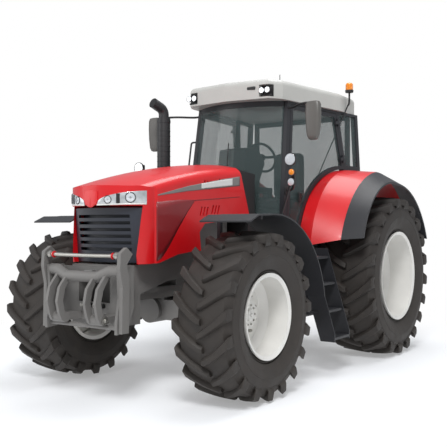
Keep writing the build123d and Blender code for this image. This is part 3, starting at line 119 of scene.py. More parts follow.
COATS: dict[Finish, Coat] = {
    Finish.RED: Coat((0.60, 0.004, 0.008), 0.34, coat=0.22, grain=300, relief=0.00004, dust=0.03),
    # painted shade: the darker red of the hood side's recess and crease films
    Finish.PAINTED_SHADE_RED: Coat((0.20, 0.004, 0.008), 0.38, coat=0.4, relief=0.00005),
    Finish.WHITE_RIM: Coat((0.74, 0.73, 0.70), 0.35, coat=0.3, relief=0.00005, dust=0.12),
    Finish.GREY: Coat((0.17, 0.165, 0.16), 0.5, grain=250, relief=0.0002, dust=0.15),
    Finish.LIGHT_GREY: Coat((0.25, 0.245, 0.24), 0.45, grain=250, relief=0.0002, dust=0.08),
    Finish.NAVY: Coat((0.020, 0.024, 0.036), 0.42, grain=700, relief=0.0002, dust=0.0),
    Finish.CHARCOAL: Coat((0.016, 0.017, 0.021), 0.46, grain=900, relief=0.0003, dust=0.05),
    Finish.BLACK: Coat((0.010, 0.010, 0.011), 0.5, grain=900, relief=0.0003, dust=0.06),
    Finish.BLACK_METAL: Coat((0.022, 0.022, 0.024), 0.42, grain=400, relief=0.0001, dust=0.05),
    Finish.RUBBER: Coat((0.022, 0.018, 0.016), 0.66, grain=420, relief=0.0005, patch=7, tone=0.5, dust=0.14),
    Finish.ROOF: Coat((0.44, 0.44, 0.42), 0.42, relief=0.0001, dust=0.0),
    Finish.STEEL: Coat((0.46, 0.45, 0.42), 0.33, metal=0.9, relief=0.0001, dust=0.05),
    Finish.CHROME: Coat((0.88, 0.90, 0.92), 0.10, metal=1.0, relief=0.0),
    Finish.LENS: Coat((0.86, 0.90, 0.94), 0.06, coat=0.5, relief=0.0, alpha=0.28, dust=0.0),
    Finish.AMBER: Coat((0.86, 0.26, 0.01), 0.18, coat=0.6, relief=0.0, dust=0.0),
    Finish.GLASS: Coat((0.08, 0.11, 0.11), 0.04, relief=0.0, tone=0.04, alpha=0.34, dust=0.0),
    Finish.FABRIC: Coat((0.035, 0.036, 0.040), 0.85, grain=1500, relief=0.0008, dust=0.0),
    Finish.STRIPE: Coat((0.19, 0.185, 0.18), 0.35, relief=0.0, dust=0.0),
    Finish.STRIPE_PALE: Coat((0.66, 0.66, 0.65), 0.35, relief=0.0, dust=0.0),
    Finish.TURQUOISE: Coat((0.010, 0.42, 0.62), 0.4, relief=0.0001),
    Finish.REFLECTOR: Coat((0.55, 0.58, 0.60), 0.22, metal=0.5, relief=0.0, patch=14, tone=0.5, dust=0.0),
    Finish.MIRROR: Coat((0.10, 0.095, 0.088), 0.38, grain=700, relief=0.0002, dust=0.0),
}

SLOT_FINISH: dict[str, Finish] = {
    "tyre": Finish.RUBBER,
    "rim_white": Finish.WHITE_RIM,
    "grey_metal": Finish.GREY,
    "steel": Finish.STEEL,
    "charcoal": Finish.CHARCOAL,
    "red_paint": Finish.RED,
    "black_plastic": Finish.BLACK,
    "lamp_white": Finish.BLACK_METAL,
    "roof_white": Finish.ROOF,
    "glass": Finish.GLASS,
    "grey_plastic": Finish.MIRROR,
    "black_metal": Finish.BLACK_METAL,
    "amber": Finish.AMBER,
    "seat_fabric": Finish.FABRIC,
}


class ShaderGroups:
    """The effects that several finishes share, each a node group built once."""

    def __init__(self) -> None:
        """Builds the groups."""
        self.tone = self._tone()
        self.dust = self._dust()
        self.grain = self._grain()

    @staticmethod
    def _new(name: str, inputs: dict[str, str], outputs: dict[str, str]) -> bpy.types.NodeTree:
        """Makes an empty group with named sockets.

        Args:
            name: Name of the group.
            inputs: Socket type of each input by its name.
            outputs: Socket type of each output by its name.

        Returns:
            The group, with its input and output nodes in place.
        """
        tree = bpy.data.node_groups.new(name, "ShaderNodeTree")
        for label, kind in inputs.items():
            tree.interface.new_socket(name=label, in_out="INPUT", socket_type=kind)
        for label, kind in outputs.items():
            tree.interface.new_socket(name=label, in_out="OUTPUT", socket_type=kind)
        tree.nodes.new("NodeGroupInput").name = "in"
        tree.nodes.new("NodeGroupOutput").name = "out"
        return tree

    @staticmethod
    def _maths(tree: bpy.types.NodeTree, operation: str, **values: float) -> bpy.types.Node:
        """Adds a maths node with some of its values set.

        Args:
            tree: The group to add to.
            operation: What it does.
            values: Values by the letter b or c of their input.

        Returns:
            The new node.
        """
        node = tree.nodes.new("ShaderNodeMath")
        node.operation = operation
        for letter, value in values.items():
            node.inputs["abc".index(letter)].default_value = value
        return node

    def _tone(self) -> bpy.types.NodeTree:
        """Colour and roughness that change softly over patches: noise read at object places."""
        tree = self._new(
            "soft_tone",
            {
                "Colour": "NodeSocketColor",
                "Spread": "NodeSocketFloat",
                "Patch": "NodeSocketFloat",
                "Rough": "NodeSocketFloat",
            },
            {"Colour": "NodeSocketColor", "Rough": "NodeSocketFloat"},
        )
        source, sink = tree.nodes["in"], tree.nodes["out"]
        place = tree.nodes.new("ShaderNodeTexCoord")
        noise = tree.nodes.new("ShaderNodeTexNoise")
        noise.inputs["Detail"].default_value = 4.0
        bright = self._maths(tree, "SUBTRACT", b=0.5)
        scaled = self._maths(tree, "MULTIPLY")
        value = self._maths(tree, "MULTIPLY_ADD", b=2.0, c=1.0)
        hue = tree.nodes.new("ShaderNodeHueSaturation")
        rough = self._maths(tree, "MULTIPLY_ADD", b=0.7)
        rough.use_clamp = True
        link = tree.links.new
        link(place.outputs["Object"], noise.inputs["Vector"])
        link(source.outputs["Patch"], noise.inputs["Scale"])
        link(noise.outputs["Fac"], bright.inputs[0])
        link(bright.outputs[0], scaled.inputs[0])
        link(source.outputs["Spread"], scaled.inputs[1])
        link(scaled.outputs[0], value.inputs[0])
        link(value.outputs[0], hue.inputs["Value"])
        link(source.outputs["Colour"], hue.inputs["Color"])
        link(scaled.outputs[0], rough.inputs[0])
        link(source.outputs["Rough"], rough.inputs[2])
        link(hue.outputs["Color"], sink.inputs["Colour"])
        link(rough.outputs[0], sink.inputs["Rough"])
        return tree

    def _dust(self) -> bpy.types.NodeTree:
        """Dry dust that fades with height: a falling ramp of Z, broken up by noise."""
        tree = self._new(
            "field_dust",
            {
                "Colour": "NodeSocketColor",
                "Dust": "NodeSocketColor",
                "Amount": "NodeSocketFloat",
                "Top": "NodeSocketFloat",
            },
            {"Colour": "NodeSocketColor"},
        )
        source, sink = tree.nodes["in"], tree.nodes["out"]
        place = tree.nodes.new("ShaderNodeTexCoord")
        split = tree.nodes.new("ShaderNodeSeparateXYZ")
        ramp = tree.nodes.new("ShaderNodeMapRange")
        ramp.inputs["To Min"].default_value = 1.0
        ramp.inputs["To Max"].default_value = 0.0
        noise = tree.nodes.new("ShaderNodeTexNoise")
        noise.inputs["Scale"].default_value = 9.0
        noise.inputs["Detail"].default_value = 6.0
        share = self._maths(tree, "MULTIPLY")
        amount = self._maths(tree, "MULTIPLY")
        mix = tree.nodes.new("ShaderNodeMix")
        mix.data_type = "RGBA"
        link = tree.links.new
        link(place.outputs["Object"], split.inputs[0])
        link(split.outputs["Z"], ramp.inputs["Value"])
        link(source.outputs["Top"], ramp.inputs["From Max"])
        link(place.outputs["Object"], noise.inputs["Vector"])
        link(ramp.outputs["Result"], share.inputs[0])
        link(noise.outputs["Fac"], share.inputs[1])
        link(share.outputs[0], amount.inputs[0])
        link(source.outputs["Amount"], amount.inputs[1])
        link(amount.outputs[0], mix.inputs["Factor"])
        link(source.outputs["Colour"], mix.inputs["A"])
        link(source.outputs["Dust"], mix.inputs["B"])
        link(mix.outputs["Result"], sink.inputs["Colour"])
        return tree

    def _grain(self) -> bpy.types.NodeTree:
        """Fine relief: noise at the grain size plus a coarser half as strong."""
        tree = self._new("fine_grain", {"Scale": "NodeSocketFloat"}, {"Height": "NodeSocketFloat"})
        source, sink = tree.nodes["in"], tree.nodes["out"]
        place = tree.nodes.new("ShaderNodeTexCoord")
        fine = tree.nodes.new("ShaderNodeTexNoise")
        fine.inputs["Detail"].default_value = 3.0
        coarse = tree.nodes.new("ShaderNodeTexNoise")
        fifth = self._maths(tree, "MULTIPLY", b=0.2)
        total = self._maths(tree, "MULTIPLY_ADD", b=0.5)
        link = tree.links.new
        link(source.outputs["Scale"], fine.inputs["Scale"])
        link(source.outputs["Scale"], fifth.inputs[0])
        link(fifth.outputs[0], coarse.inputs["Scale"])
        link(place.outputs["Object"], fine.inputs["Vector"])
        link(place.outputs["Object"], coarse.inputs["Vector"])
        link(coarse.outputs["Fac"], total.inputs[0])
        link(fine.outputs["Fac"], total.inputs[2])
        link(total.outputs[0], sink.inputs["Height"])
        return tree


@dataclass
class PaintShop:
    """Builds each finish once and hands it out.

    Args:
        dust_colour: Colour of dry field dust.
        dust_top: Height in metres at which the dust ends.
    """

    dust_colour: tuple[float, float, float] = (0.20, 0.165, 0.125)
    dust_top: float = 2.1
    groups: ShaderGroups = field(default_factory=ShaderGroups)
    made: dict[Finish, bpy.types.Material] = field(default_factory=dict)

    def material(self, finish: Finish) -> bpy.types.Material:
        """Returns the material of a finish, made on first use.

        Args:
            finish: The finish.

        Returns:
            Its material.
        """
        if finish not in self.made:
            self.made[finish] = self._build(finish, COATS[finish])
        return self.made[finish]

    def _build(self, finish: Finish, coat: Coat) -> bpy.types.Material:
        """Makes the node tree of one finish.

        Args:
            finish: The finish, for its name.
            coat: Its sizes.

        Returns:
            The new material.
        """
        material = bpy.data.materials.new(finish.value.replace(" ", "_"))
        material.use_nodes = True
        nodes, link = material.node_tree.nodes, material.node_tree.links.new
        shader = nodes["Principled BSDF"]
        tone = nodes.new("ShaderNodeGroup")
        tone.node_tree = self.groups.tone
        tone.inputs["Colour"].default_value = (*coat.colour, 1.0)
        tone.inputs["Spread"].default_value = coat.tone
        tone.inputs["Patch"].default_value = coat.patch
        tone.inputs["Rough"].default_value = coat.rough
        dust = nodes.new("ShaderNodeGroup")
        dust.node_tree = self.groups.dust
        dust.inputs["Dust"].default_value = (*self.dust_colour, 1.0)
        dust.inputs["Amount"].default_value = coat.dust
        dust.inputs["Top"].default_value = self.dust_top
        link(tone.outputs["Colour"], dust.inputs["Colour"])
        link(dust.outputs["Colour"], shader.inputs["Base Color"])
        link(tone.outputs["Rough"], shader.inputs["Roughness"])
        shader.inputs["Metallic"].default_value = coat.metal
        shader.inputs["Coat Weight"].default_value = coat.coat
        shader.inputs["Coat Roughness"].default_value = 0.06
        shader.inputs["Alpha"].default_value = coat.alpha
        if coat.relief:
            grain = nodes.new("ShaderNodeGroup")
            grain.node_tree = self.groups.grain
            grain.inputs["Scale"].default_value = coat.grain
            bump = nodes.new("ShaderNodeBump")
            bump.inputs["Distance"].default_value = coat.relief
            link(grain.outputs["Height"], bump.inputs["Height"])
            link(bump.outputs["Normal"], shader.inputs["Normal"])
        return material


SHOP = PaintShop()


def ring_quads(rows: int, cols: int, wrap_rows: bool, wrap_cols: bool) -> np.ndarray:
    """Corner numbers of the quads of a grid whose rows or columns may close on themselves.

    Args:
        rows: Number of rows.
        cols: Number of columns.
        wrap_rows: Whether the last row joins the first.
        wrap_cols: Whether the last column joins the first.

    Returns:
        An array of four corner numbers a quad.
    """
    row, col = np.meshgrid(
        np.arange(rows if wrap_rows else rows - 1),
        np.arange(cols if wrap_cols else cols - 1),
        indexing="ij",
    )
    below, beside = (row + 1) % rows, (col + 1) % cols
    corners = (row * cols + col, row * cols + beside, below * cols + beside, below * cols + col)
    return np.stack(corners, axis=-1).reshape(-1, 4)


def axis_frame(direction: tuple[float, float, float]) -> np.ndarray:
    """Three unit vectors as rows: two across a direction, then the direction.

    Args:
        direction: Any vector that isn't zero.

    Returns:
        A matrix of the side, up and along vectors.
    """
    along = np.asarray(direction, float)
    along = along / np.linalg.norm(along)
    helper = np.array((0.0, 0.0, 1.0)) if abs(along[2]) < 0.9 else np.array((1.0, 0.0, 0.0))
    side = np.cross(helper, along)
    side = side / np.linalg.norm(side)
    return np.stack((side, np.cross(along, side), along))


@dataclass
class Skin:
    """Gathers surfaces, each a grid of points, into one mesh of one or more finishes.

    Args:
        name: Name of the piece.
        finishes: Its finishes, in the order of the slot numbers used below.
        body: The body that it rides on.
        sharp: Angle in degrees above which an edge stays sharp.
    """

    name: str
    finishes: tuple[Finish, ...]
    body: str
    sharp: float = 35.0
    points: list[np.ndarray] = field(default_factory=list)
    quads: list[np.ndarray] = field(default_factory=list)
    fans: list[np.ndarray] = field(default_factory=list)
    quad_slots: list[np.ndarray] = field(default_factory=list)
    fan_slots: list[np.ndarray] = field(default_factory=list)
    count: int = 0

    def grid(
        self,
        surface: np.ndarray,
        wrap_rows: bool = False,
        wrap_cols: bool = True,
        slot: int = 0,
    ) -> "Skin":
        """Adds a grid of points; an open tube of rings is closed by a fan at both ends.

        Args:
            surface: Points, rows by columns by three.
            wrap_rows: Whether the last row joins the first.
            wrap_cols: Whether each row is a closed ring.
            slot: Number of its finish.

        Returns:
            The same skin.
        """
        rows, cols = surface.shape[:2]
        self.points.append(surface.reshape(-1, 3))
        quads = ring_quads(rows, cols, wrap_rows, wrap_cols) + self.count
        self.quads.append(quads)
        self.quad_slots.append(np.full(len(quads), slot))
        first = self.count
        self.count += rows * cols
        if wrap_cols and not wrap_rows:
            for row in (0, rows - 1):
                self._fan(surface[row], first + row * cols, slot)
        return self

    def _fan(self, ring: np.ndarray, start: int, slot: int) -> None:
        """Closes a ring by triangles to its middle.

        Args:
            ring: The ring's points.
            start: Number of its first point.
            slot: Number of its finish.
        """
        cols = len(ring)
        self.points.append(ring.mean(axis=0, keepdims=True))
        index = np.arange(cols)
        hub = np.full(cols, self.count)
        fan = np.stack((hub, start + index, start + (index + 1) % cols), axis=-1)
        self.fans.append(fan)
        self.fan_slots.append(np.full(cols, slot))
        self.count += 1

    def turned(
        self,
        profile: list[tuple[float, float]],
        place: tuple[float, float, float],
        direction: tuple[float, float, float],
        steps: int = 32,
        slot: int = 0,
    ) -> "Skin":
        """Adds a profile of (distance along, radius) turned about an axis.

        Args:
            profile: Points of the profile.
            place: Start of the axis.
            direction: Direction of the axis.
            steps: Number of points around.
            slot: Number of its finish.

        Returns:
            The same skin.
        """
        side, up, along = axis_frame(direction)
        shape = np.asarray(profile, float)
        angle = np.linspace(0, FULL_TURN, steps, endpoint=False)
        around = np.cos(angle)[:, None] * side + np.sin(angle)[:, None] * up
        surface = (
            np.asarray(place, float)
            + shape[:, 0, None, None] * along
            + shape[:, 1, None, None] * around[None]
        )
        return self.grid(surface, slot=slot)

    def tube(
        self,
        path: list[tuple[float, float, float]],
        radius: float,
        steps: int = 12,
        smooth: int = 2,
        slot: int = 0,
    ) -> "Skin":
        """Adds a round section carried along a path whose corners are cut smooth.

        Args:
            path: Corner points of the path.
            radius: Radius of the section.
            steps: Number of points around.
            smooth: Number of times the corners are cut.
            slot: Number of its finish.

        Returns:
            The same skin.
        """
        line = np.asarray(path, float)
        for _ in range(smooth):
            near = line[:-1] * 0.75 + line[1:] * 0.25
            far = line[:-1] * 0.25 + line[1:] * 0.75
            cut = np.stack((near, far), axis=1).reshape(-1, 3)
            line = np.concatenate((line[:1], cut, line[-1:]))
        run = np.gradient(line, axis=0)
        run /= np.linalg.norm(run, axis=1, keepdims=True)
        chord = line[-1] - line[0]
        steep = abs(chord[2]) > 0.8 * np.linalg.norm(chord)
        helper = np.array((1.0, 0.0, 0.0) if steep else (0.0, 0.0, 1.0))
        side = np.cross(helper, run)
        side /= np.linalg.norm(side, axis=1, keepdims=True)
        up = np.cross(run, side)
        angle = np.linspace(0, FULL_TURN, steps, endpoint=False)
        surface = (
            line[:, None]
            + radius * np.cos(angle)[None, :, None] * side[:, None]
            + radius * np.sin(angle)[None, :, None] * up[:, None]
        )
        return self.grid(surface, slot=slot)

    def pebble(
        self,
        middle: tuple[float, float, float],
        half: tuple[float, float, float],
        square: float = 0.35,
        steps: int = 24,
        slot: int = 0,
        turn: float = 0.0,
    ) -> "Skin":
        """Adds a rounded block: a superellipsoid, sine and cosine raised to a power below one.

        Args:
            middle: Its middle.
            half: Its half sizes.
            square: The power, 1 for an ellipsoid and near 0 for a box.
            steps: Number of points around.
            slot: Number of its finish.
            turn: Turn about the vertical in radians.

        Returns:
            The same skin.
        """
        def power(value: np.ndarray) -> np.ndarray:
            """Signed power of the values."""
            return np.sign(value) * np.abs(value) ** square

        lift = np.linspace(-math.pi / 2, math.pi / 2, steps // 2 + 1)[1:-1, None]
        angle = np.linspace(0, FULL_TURN, steps, endpoint=False)[None, :]
        x = half[0] * power(np.cos(lift)) * power(np.cos(angle))
        y = half[1] * power(np.cos(lift)) * power(np.sin(angle))
        z = half[2] * power(np.sin(lift)) * np.ones_like(angle)
        spun_x = x * math.cos(turn) - y * math.sin(turn)
        spun_y = x * math.sin(turn) + y * math.cos(turn)
        surface = np.stack((spun_x, spun_y, z), axis=-1) + np.asarray(middle, float)
        return self.grid(surface, slot=slot)

    def plate(
        self,
        outline: list[tuple[float, float]],
        low: float,
        high: float,
        axis: int = 0,
        bevel: float = 0.004,
        slot: int = 0,
    ) -> "Skin":
        """Adds a flat plate of an outline, its rims bevelled by rings drawn to the middle.

        Args:
            outline: Points across the axis, in the order of the remaining axes.
            low: Lower face along the axis.
            high: Upper face along the axis.
            axis: Number of the axis that the plate is thick along.
            bevel: Size of the bevel.
            slot: Number of its finish.

        Returns:
            The same skin.
        """
        flat = np.asarray(outline, float)
        middle = flat.mean(axis=0)
        reach = np.linalg.norm(flat - middle, axis=1, keepdims=True)
        inner = flat - (flat - middle) / reach * bevel
        rings = []
        for ring, level in ((inner, low), (flat, low + bevel), (flat, high - bevel), (inner, high)):
            rings.append(np.insert(ring, axis, level, axis=1))
        return self.grid(np.stack(rings), slot=slot)

    def build(self) -> bpy.types.Object:
        """Makes the object, rides it on its body and names its slot."""
        corners = np.concatenate(self.points)
        quads = np.concatenate(self.quads)
        fans = np.concatenate(self.fans) if self.fans else np.zeros((0, 3), int)
        mesh = bpy.data.meshes.new(self.name)
        mesh.vertices.add(len(corners))
        mesh.vertices.foreach_set("co", corners.astype(np.float32).ravel())
        loops = np.concatenate((quads.ravel(), fans.ravel())).astype(np.int32)
        sizes = np.concatenate((np.full(len(quads), 4), np.full(len(fans), 3))).astype(np.int32)
        starts = np.concatenate(([0], np.cumsum(sizes)[:-1])).astype(np.int32)
        mesh.loops.add(len(loops))
        mesh.loops.foreach_set("vertex_index", loops)
        mesh.polygons.add(len(sizes))
        mesh.polygons.foreach_set("loop_start", starts)
        mesh.polygons.foreach_set("loop_total", sizes)
        slots = np.concatenate((*self.quad_slots, *self.fan_slots)).astype(np.int32)
        mesh.polygons.foreach_set("material_index", slots)
        mesh.update(calc_edges=True)
        mesh.validate()
        for finish in self.finishes:
            mesh.materials.append(SHOP.material(finish))
        tidy_mesh(mesh)
        mesh.shade_smooth()
        mesh.set_sharp_from_angle(angle=math.radians(self.sharp))
        made = bpy.data.objects.new(self.name, mesh)
        bpy.context.scene.collection.objects.link(made)
        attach(made, self.body)
        LOG.info("%s: %d faces on %s", self.name, len(mesh.polygons), self.body)
        return made


def tidy_mesh(mesh: bpy.types.Mesh) -> None:
    """Merges doubled points and turns every face outwards.

    Args:
        mesh: The mesh to change.
    """
    work = bmesh.new()
    work.from_mesh(mesh)
    bmesh.ops.remove_doubles(work, verts=work.verts, dist=1e-5)
    bmesh.ops.recalc_face_normals(work, faces=work.faces)
    work.to_mesh(mesh)
    work.free()


@dataclass
class Tyre:
    """A tractor tyre: a smooth carcass and two rows of curved bars.

    Args:
        node: Name of the solid that it stands for.
        body: The body that it rides on.
        radius: Radius over the bars.
        width: Section width.
        rim: Radius of the bead.
        bead: Half width between the beads.
        lugs: Bars on each side.
        depth: Height of the bars.
    """

    node: str
    body: str
    radius: float
    width: float
    rim: float
    bead: float
    lugs: int
    depth: float

    def centre(self) -> np.ndarray:
        """Middle of the solid's box."""
        low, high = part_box(self.node)
        middle = (np.array(low) + np.array(high)) / 2
        middle[2] = self.radius * math.cos(math.pi / (2 * self.lugs))
        return middle

    def carcass(self) -> np.ndarray:
        """Half profile from the bead over the wall to the crown, as (across, radius) points."""
        height = self.radius - self.depth - self.rim
        w, r = self.width, self.rim
        shape = [
            (self.bead - 0.012, r - 0.022),
            (self.bead + 0.006, r + 0.004),
            (self.bead + 0.010, r + 0.020),
            (self.bead + 0.004, r + 0.026),
            (self.bead + 0.020, r + 0.10 * height),
            (0.455 * w, r + 0.24 * height),
            (0.486 * w, r + 0.40 * height),
            (0.490 * w, r + 0.47 * height),
            (0.494 * w, r + 0.475 * height),
            (0.494 * w, r + 0.49 * height),
            (0.490 * w, r + 0.495 * height),
            (0.488 * w, r + 0.58 * height),
            (0.474 * w, r + 0.71 * height),
            (0.478 * w, r + 0.715 * height),
            (0.474 * w, r + 0.735 * height),
            (0.468 * w, r + 0.74 * height),
            (0.440 * w, r + 0.88 * height),
            (0.395 * w, r + 0.955 * height),
            (0.250 * w, r + 0.992 * height),
            (0.0, r + height),
        ]
        return np.asarray(shape)

    def bar(self, side: int) -> np.ndarray:
        """One bar as rings along its length.

        A ring has its feet on the carcass and its crown above it. Along the length the middle
        runs from the tyre's centre line out to the shoulder, swinging back around the tyre as
        a power of the way, and the last rings sink down the wall.

        Args:
            side: 1 for the bars on +X and -1 for those on -X.

        Returns:
            Rings of (across, radius, angle) points.
        """
        w = self.width
        way = np.array((0.0, 0.06, 0.18, 0.32, 0.46, 0.60, 0.73, 0.85, 0.94, 1.0, 1.03, 1.05))
        last = way > 1.0
        across = (-0.035 + 0.520 * np.minimum(way, 1.0)) * w + np.where(last, 0.012 * w, 0.0)
        reach = 0.90 * math.pi * self.radius / self.lugs
        swing = -reach + 2.0 * reach * np.minimum(way, 1.0) ** 1.25 * 0.93
        reached = self.radius * math.cos(math.pi / (2 * self.lugs))
        crown = reached * (1 - 0.028 * (np.minimum(way, 1.0)) ** 2)
        crown = crown - np.where(way > 1.0, (way - 1.0) * 1.15, 0.0)
        crown = np.where(way == 0.0, crown - 0.012, crown)
        foot = self.radius - self.depth - 0.035 - 0.10 * np.maximum(way - 0.75, 0)
        foot = np.where(last, crown - 0.06, foot)
        half_top = np.interp(way, (0, 0.1, 0.5, 0.85, 1.05), (0.020, 0.026, 0.030, 0.040, 0.042))
        half_foot = half_top + 0.016
        scale = self.radius / 0.80
        across_foot = np.where(last, across - 0.03 * w, across)
        ring = (
            (across_foot, foot, -half_foot),
            (across, crown - 0.75 * self.depth, -half_foot * 0.98),
            (across, crown - 0.16 * self.depth, -half_top - 0.003),
            (across, crown, -half_top + 0.004),
            (across, crown, half_top - 0.004),
            (across, crown - 0.16 * self.depth, half_top + 0.003),
            (across, crown - 0.75 * self.depth, half_foot * 0.98),
            (across_foot, foot, half_foot),
        )
        rows = []
        for x, r, offset in ring:
            rows.append(np.stack((side * x, r, (swing + offset * scale) / self.radius), axis=-1))
        return np.stack(rows, axis=1)

    def build(self) -> bpy.types.Object:
        """Makes the tyre and hides the solid."""
        skin = Skin(self.node + "_tread", (Finish.RUBBER,), self.body, sharp=32)
        centre = self.centre()
        half = self.carcass()
        profile = np.concatenate((half, half[-2::-1] * (-1, 1)))
        inner = np.array(((-self.bead + 0.02, self.rim - 0.022), (self.bead - 0.02, self.rim - 0.022)))
        profile = np.concatenate((profile, inner))
        angle = np.linspace(0, FULL_TURN, 120, endpoint=False)
        spin = np.stack((np.zeros_like(angle), np.sin(angle), np.cos(angle)), axis=-1)
        surface = profile[None, :, 1, None] * spin[:, None]
        surface[..., 0] = profile[None, :, 0]
        skin.grid(surface + centre, wrap_rows=True, wrap_cols=True)
        pitch = FULL_TURN / self.lugs
        for side in (LEFT, RIGHT):
            bar = self.bar(side)
            shift = 0.0 if side == LEFT else -pitch / 2
            for turn in np.arange(self.lugs) * pitch + shift + 0.25 * pitch:
                bent = bar[..., 2] + turn
                place = np.stack(
                    (bar[..., 0], bar[..., 1] * np.sin(bent), bar[..., 1] * np.cos(bent)), axis=-1
                )
                skin.grid(place + centre)
        made = skin.build()
        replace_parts(made, self.node)
        return made


@dataclass
class WheelNuts:
    """Nuts, studs, hub bolts and hub cover of one wheel.

    Args:
        rim: Name of the rim's solid.
        body: The body that it rides on.
        side: 1 on the left and -1 on the right.
        disc: Distance of the disc's outer face from the machine's middle.
        hub_end: Distance of the hub's outer face from the machine's middle.
        circle: Radius of the circle of nuts.
        count: Number of nuts.
        hub: Radius of the hub.
    """

    rim: str
    body: str
    side: int
    disc: float
    hub_end: float
    circle: float
    count: int
    hub: float

    def build(self) -> bpy.types.Object:
        """Makes the nuts on their circle, the small bolts of the hub and its centre cap."""
        low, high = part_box(self.rim)
        y, z = (low[1] + high[1]) / 2, (low[2] + high[2]) / 2
        skin = Skin(self.rim + "_nuts", (Finish.WHITE_RIM, Finish.STEEL), self.body)
        out = (self.side, 0.0, 0.0)
        nut = [(0.0, 0.021), (0.004, 0.023), (0.006, 0.017), (0.022, 0.017), (0.025, 0.014)]
        stud = [(0.0, 0.009), (0.034, 0.009), (0.036, 0.007)]
        for turn in np.arange(self.count) * FULL_TURN / self.count:
            spot = (self.side * self.disc, y + self.circle * math.sin(turn), z + self.circle * math.cos(turn))
            skin.turned(nut, spot, out, steps=6, slot=1)
            skin.turned(stud, spot, out, steps=10, slot=1)
        bolt = [(0.0, 0.012), (0.003, 0.012), (0.003, 0.009), (0.012, 0.009), (0.014, 0.007)]
        for turn in (np.arange(10) + 0.5) * FULL_TURN / 10:
            reach = 0.70 * self.hub
            spot = (self.side * self.hub_end, y + reach * math.sin(turn), z + reach * math.cos(turn))
            skin.turned(bolt, spot, out, steps=6, slot=1)
        cap = [
            (0.0, 0.45 * self.hub),
            (0.016, 0.44 * self.hub),
            (0.024, 0.38 * self.hub),
            (0.026, 0.16 * self.hub),
            (0.036, 0.14 * self.hub),
            (0.038, 0.10 * self.hub),
        ]
        skin.turned(cap, (self.side * self.hub_end, y, z), out, steps=40)
        return skin.build()


def at(x: float, y: float, z: float) -> tuple[float, float, float]:
    """Place in the frame's metres of a point measured from the rear axle's line."""
    return (x, y + AXLE_Y, z)


@dataclass
class Nose:
    """Plan of the hood's front, an ellipse between the legs, and the width of the hood behind it.

    Args:
        half: Half width at the legs.
        corner: Place of the legs' front corners along the machine.
        bow: Distance by which the middle stands ahead of the corners.
        stations: Places along the machine at which the hood's half width is known.
        widths: The half widths there.
    """

    half: float = 0.478
    corner: float = -3.690
    bow: float = 0.350
    stations: tuple[float, ...] = (-4.30, -3.75, -3.20, -2.55, -1.96)
    widths: tuple[float, ...] = (0.463, 0.489, 0.499, 0.503, 0.503)

    def front(self, x: np.ndarray) -> np.ndarray:
        """Place along the machine of the nose at each distance from the middle: the ellipse."""
        return self.corner - self.bow * np.sqrt(np.maximum(1 - (x / self.half) ** 2, 0))

    def normal(self, x: float) -> tuple[float, float, float]:
        """Outward direction of the nose at a distance from the middle.

        Args:
            x: Signed distance from the middle.

        Returns:
            A direction in plan.
        """
        rise = math.sqrt(max(1 - (x / self.half) ** 2, 0.0))
        return (x / self.half**2, -rise / self.bow, 0.0)

    def side(self, y: np.ndarray) -> np.ndarray:
        """Half width of the hood at each place along the machine, cut at the front corners."""
        body = np.interp(y, self.stations, self.widths)
        return np.minimum(body, self.half + 0.5 * (y - self.corner))


NOSE = Nose()


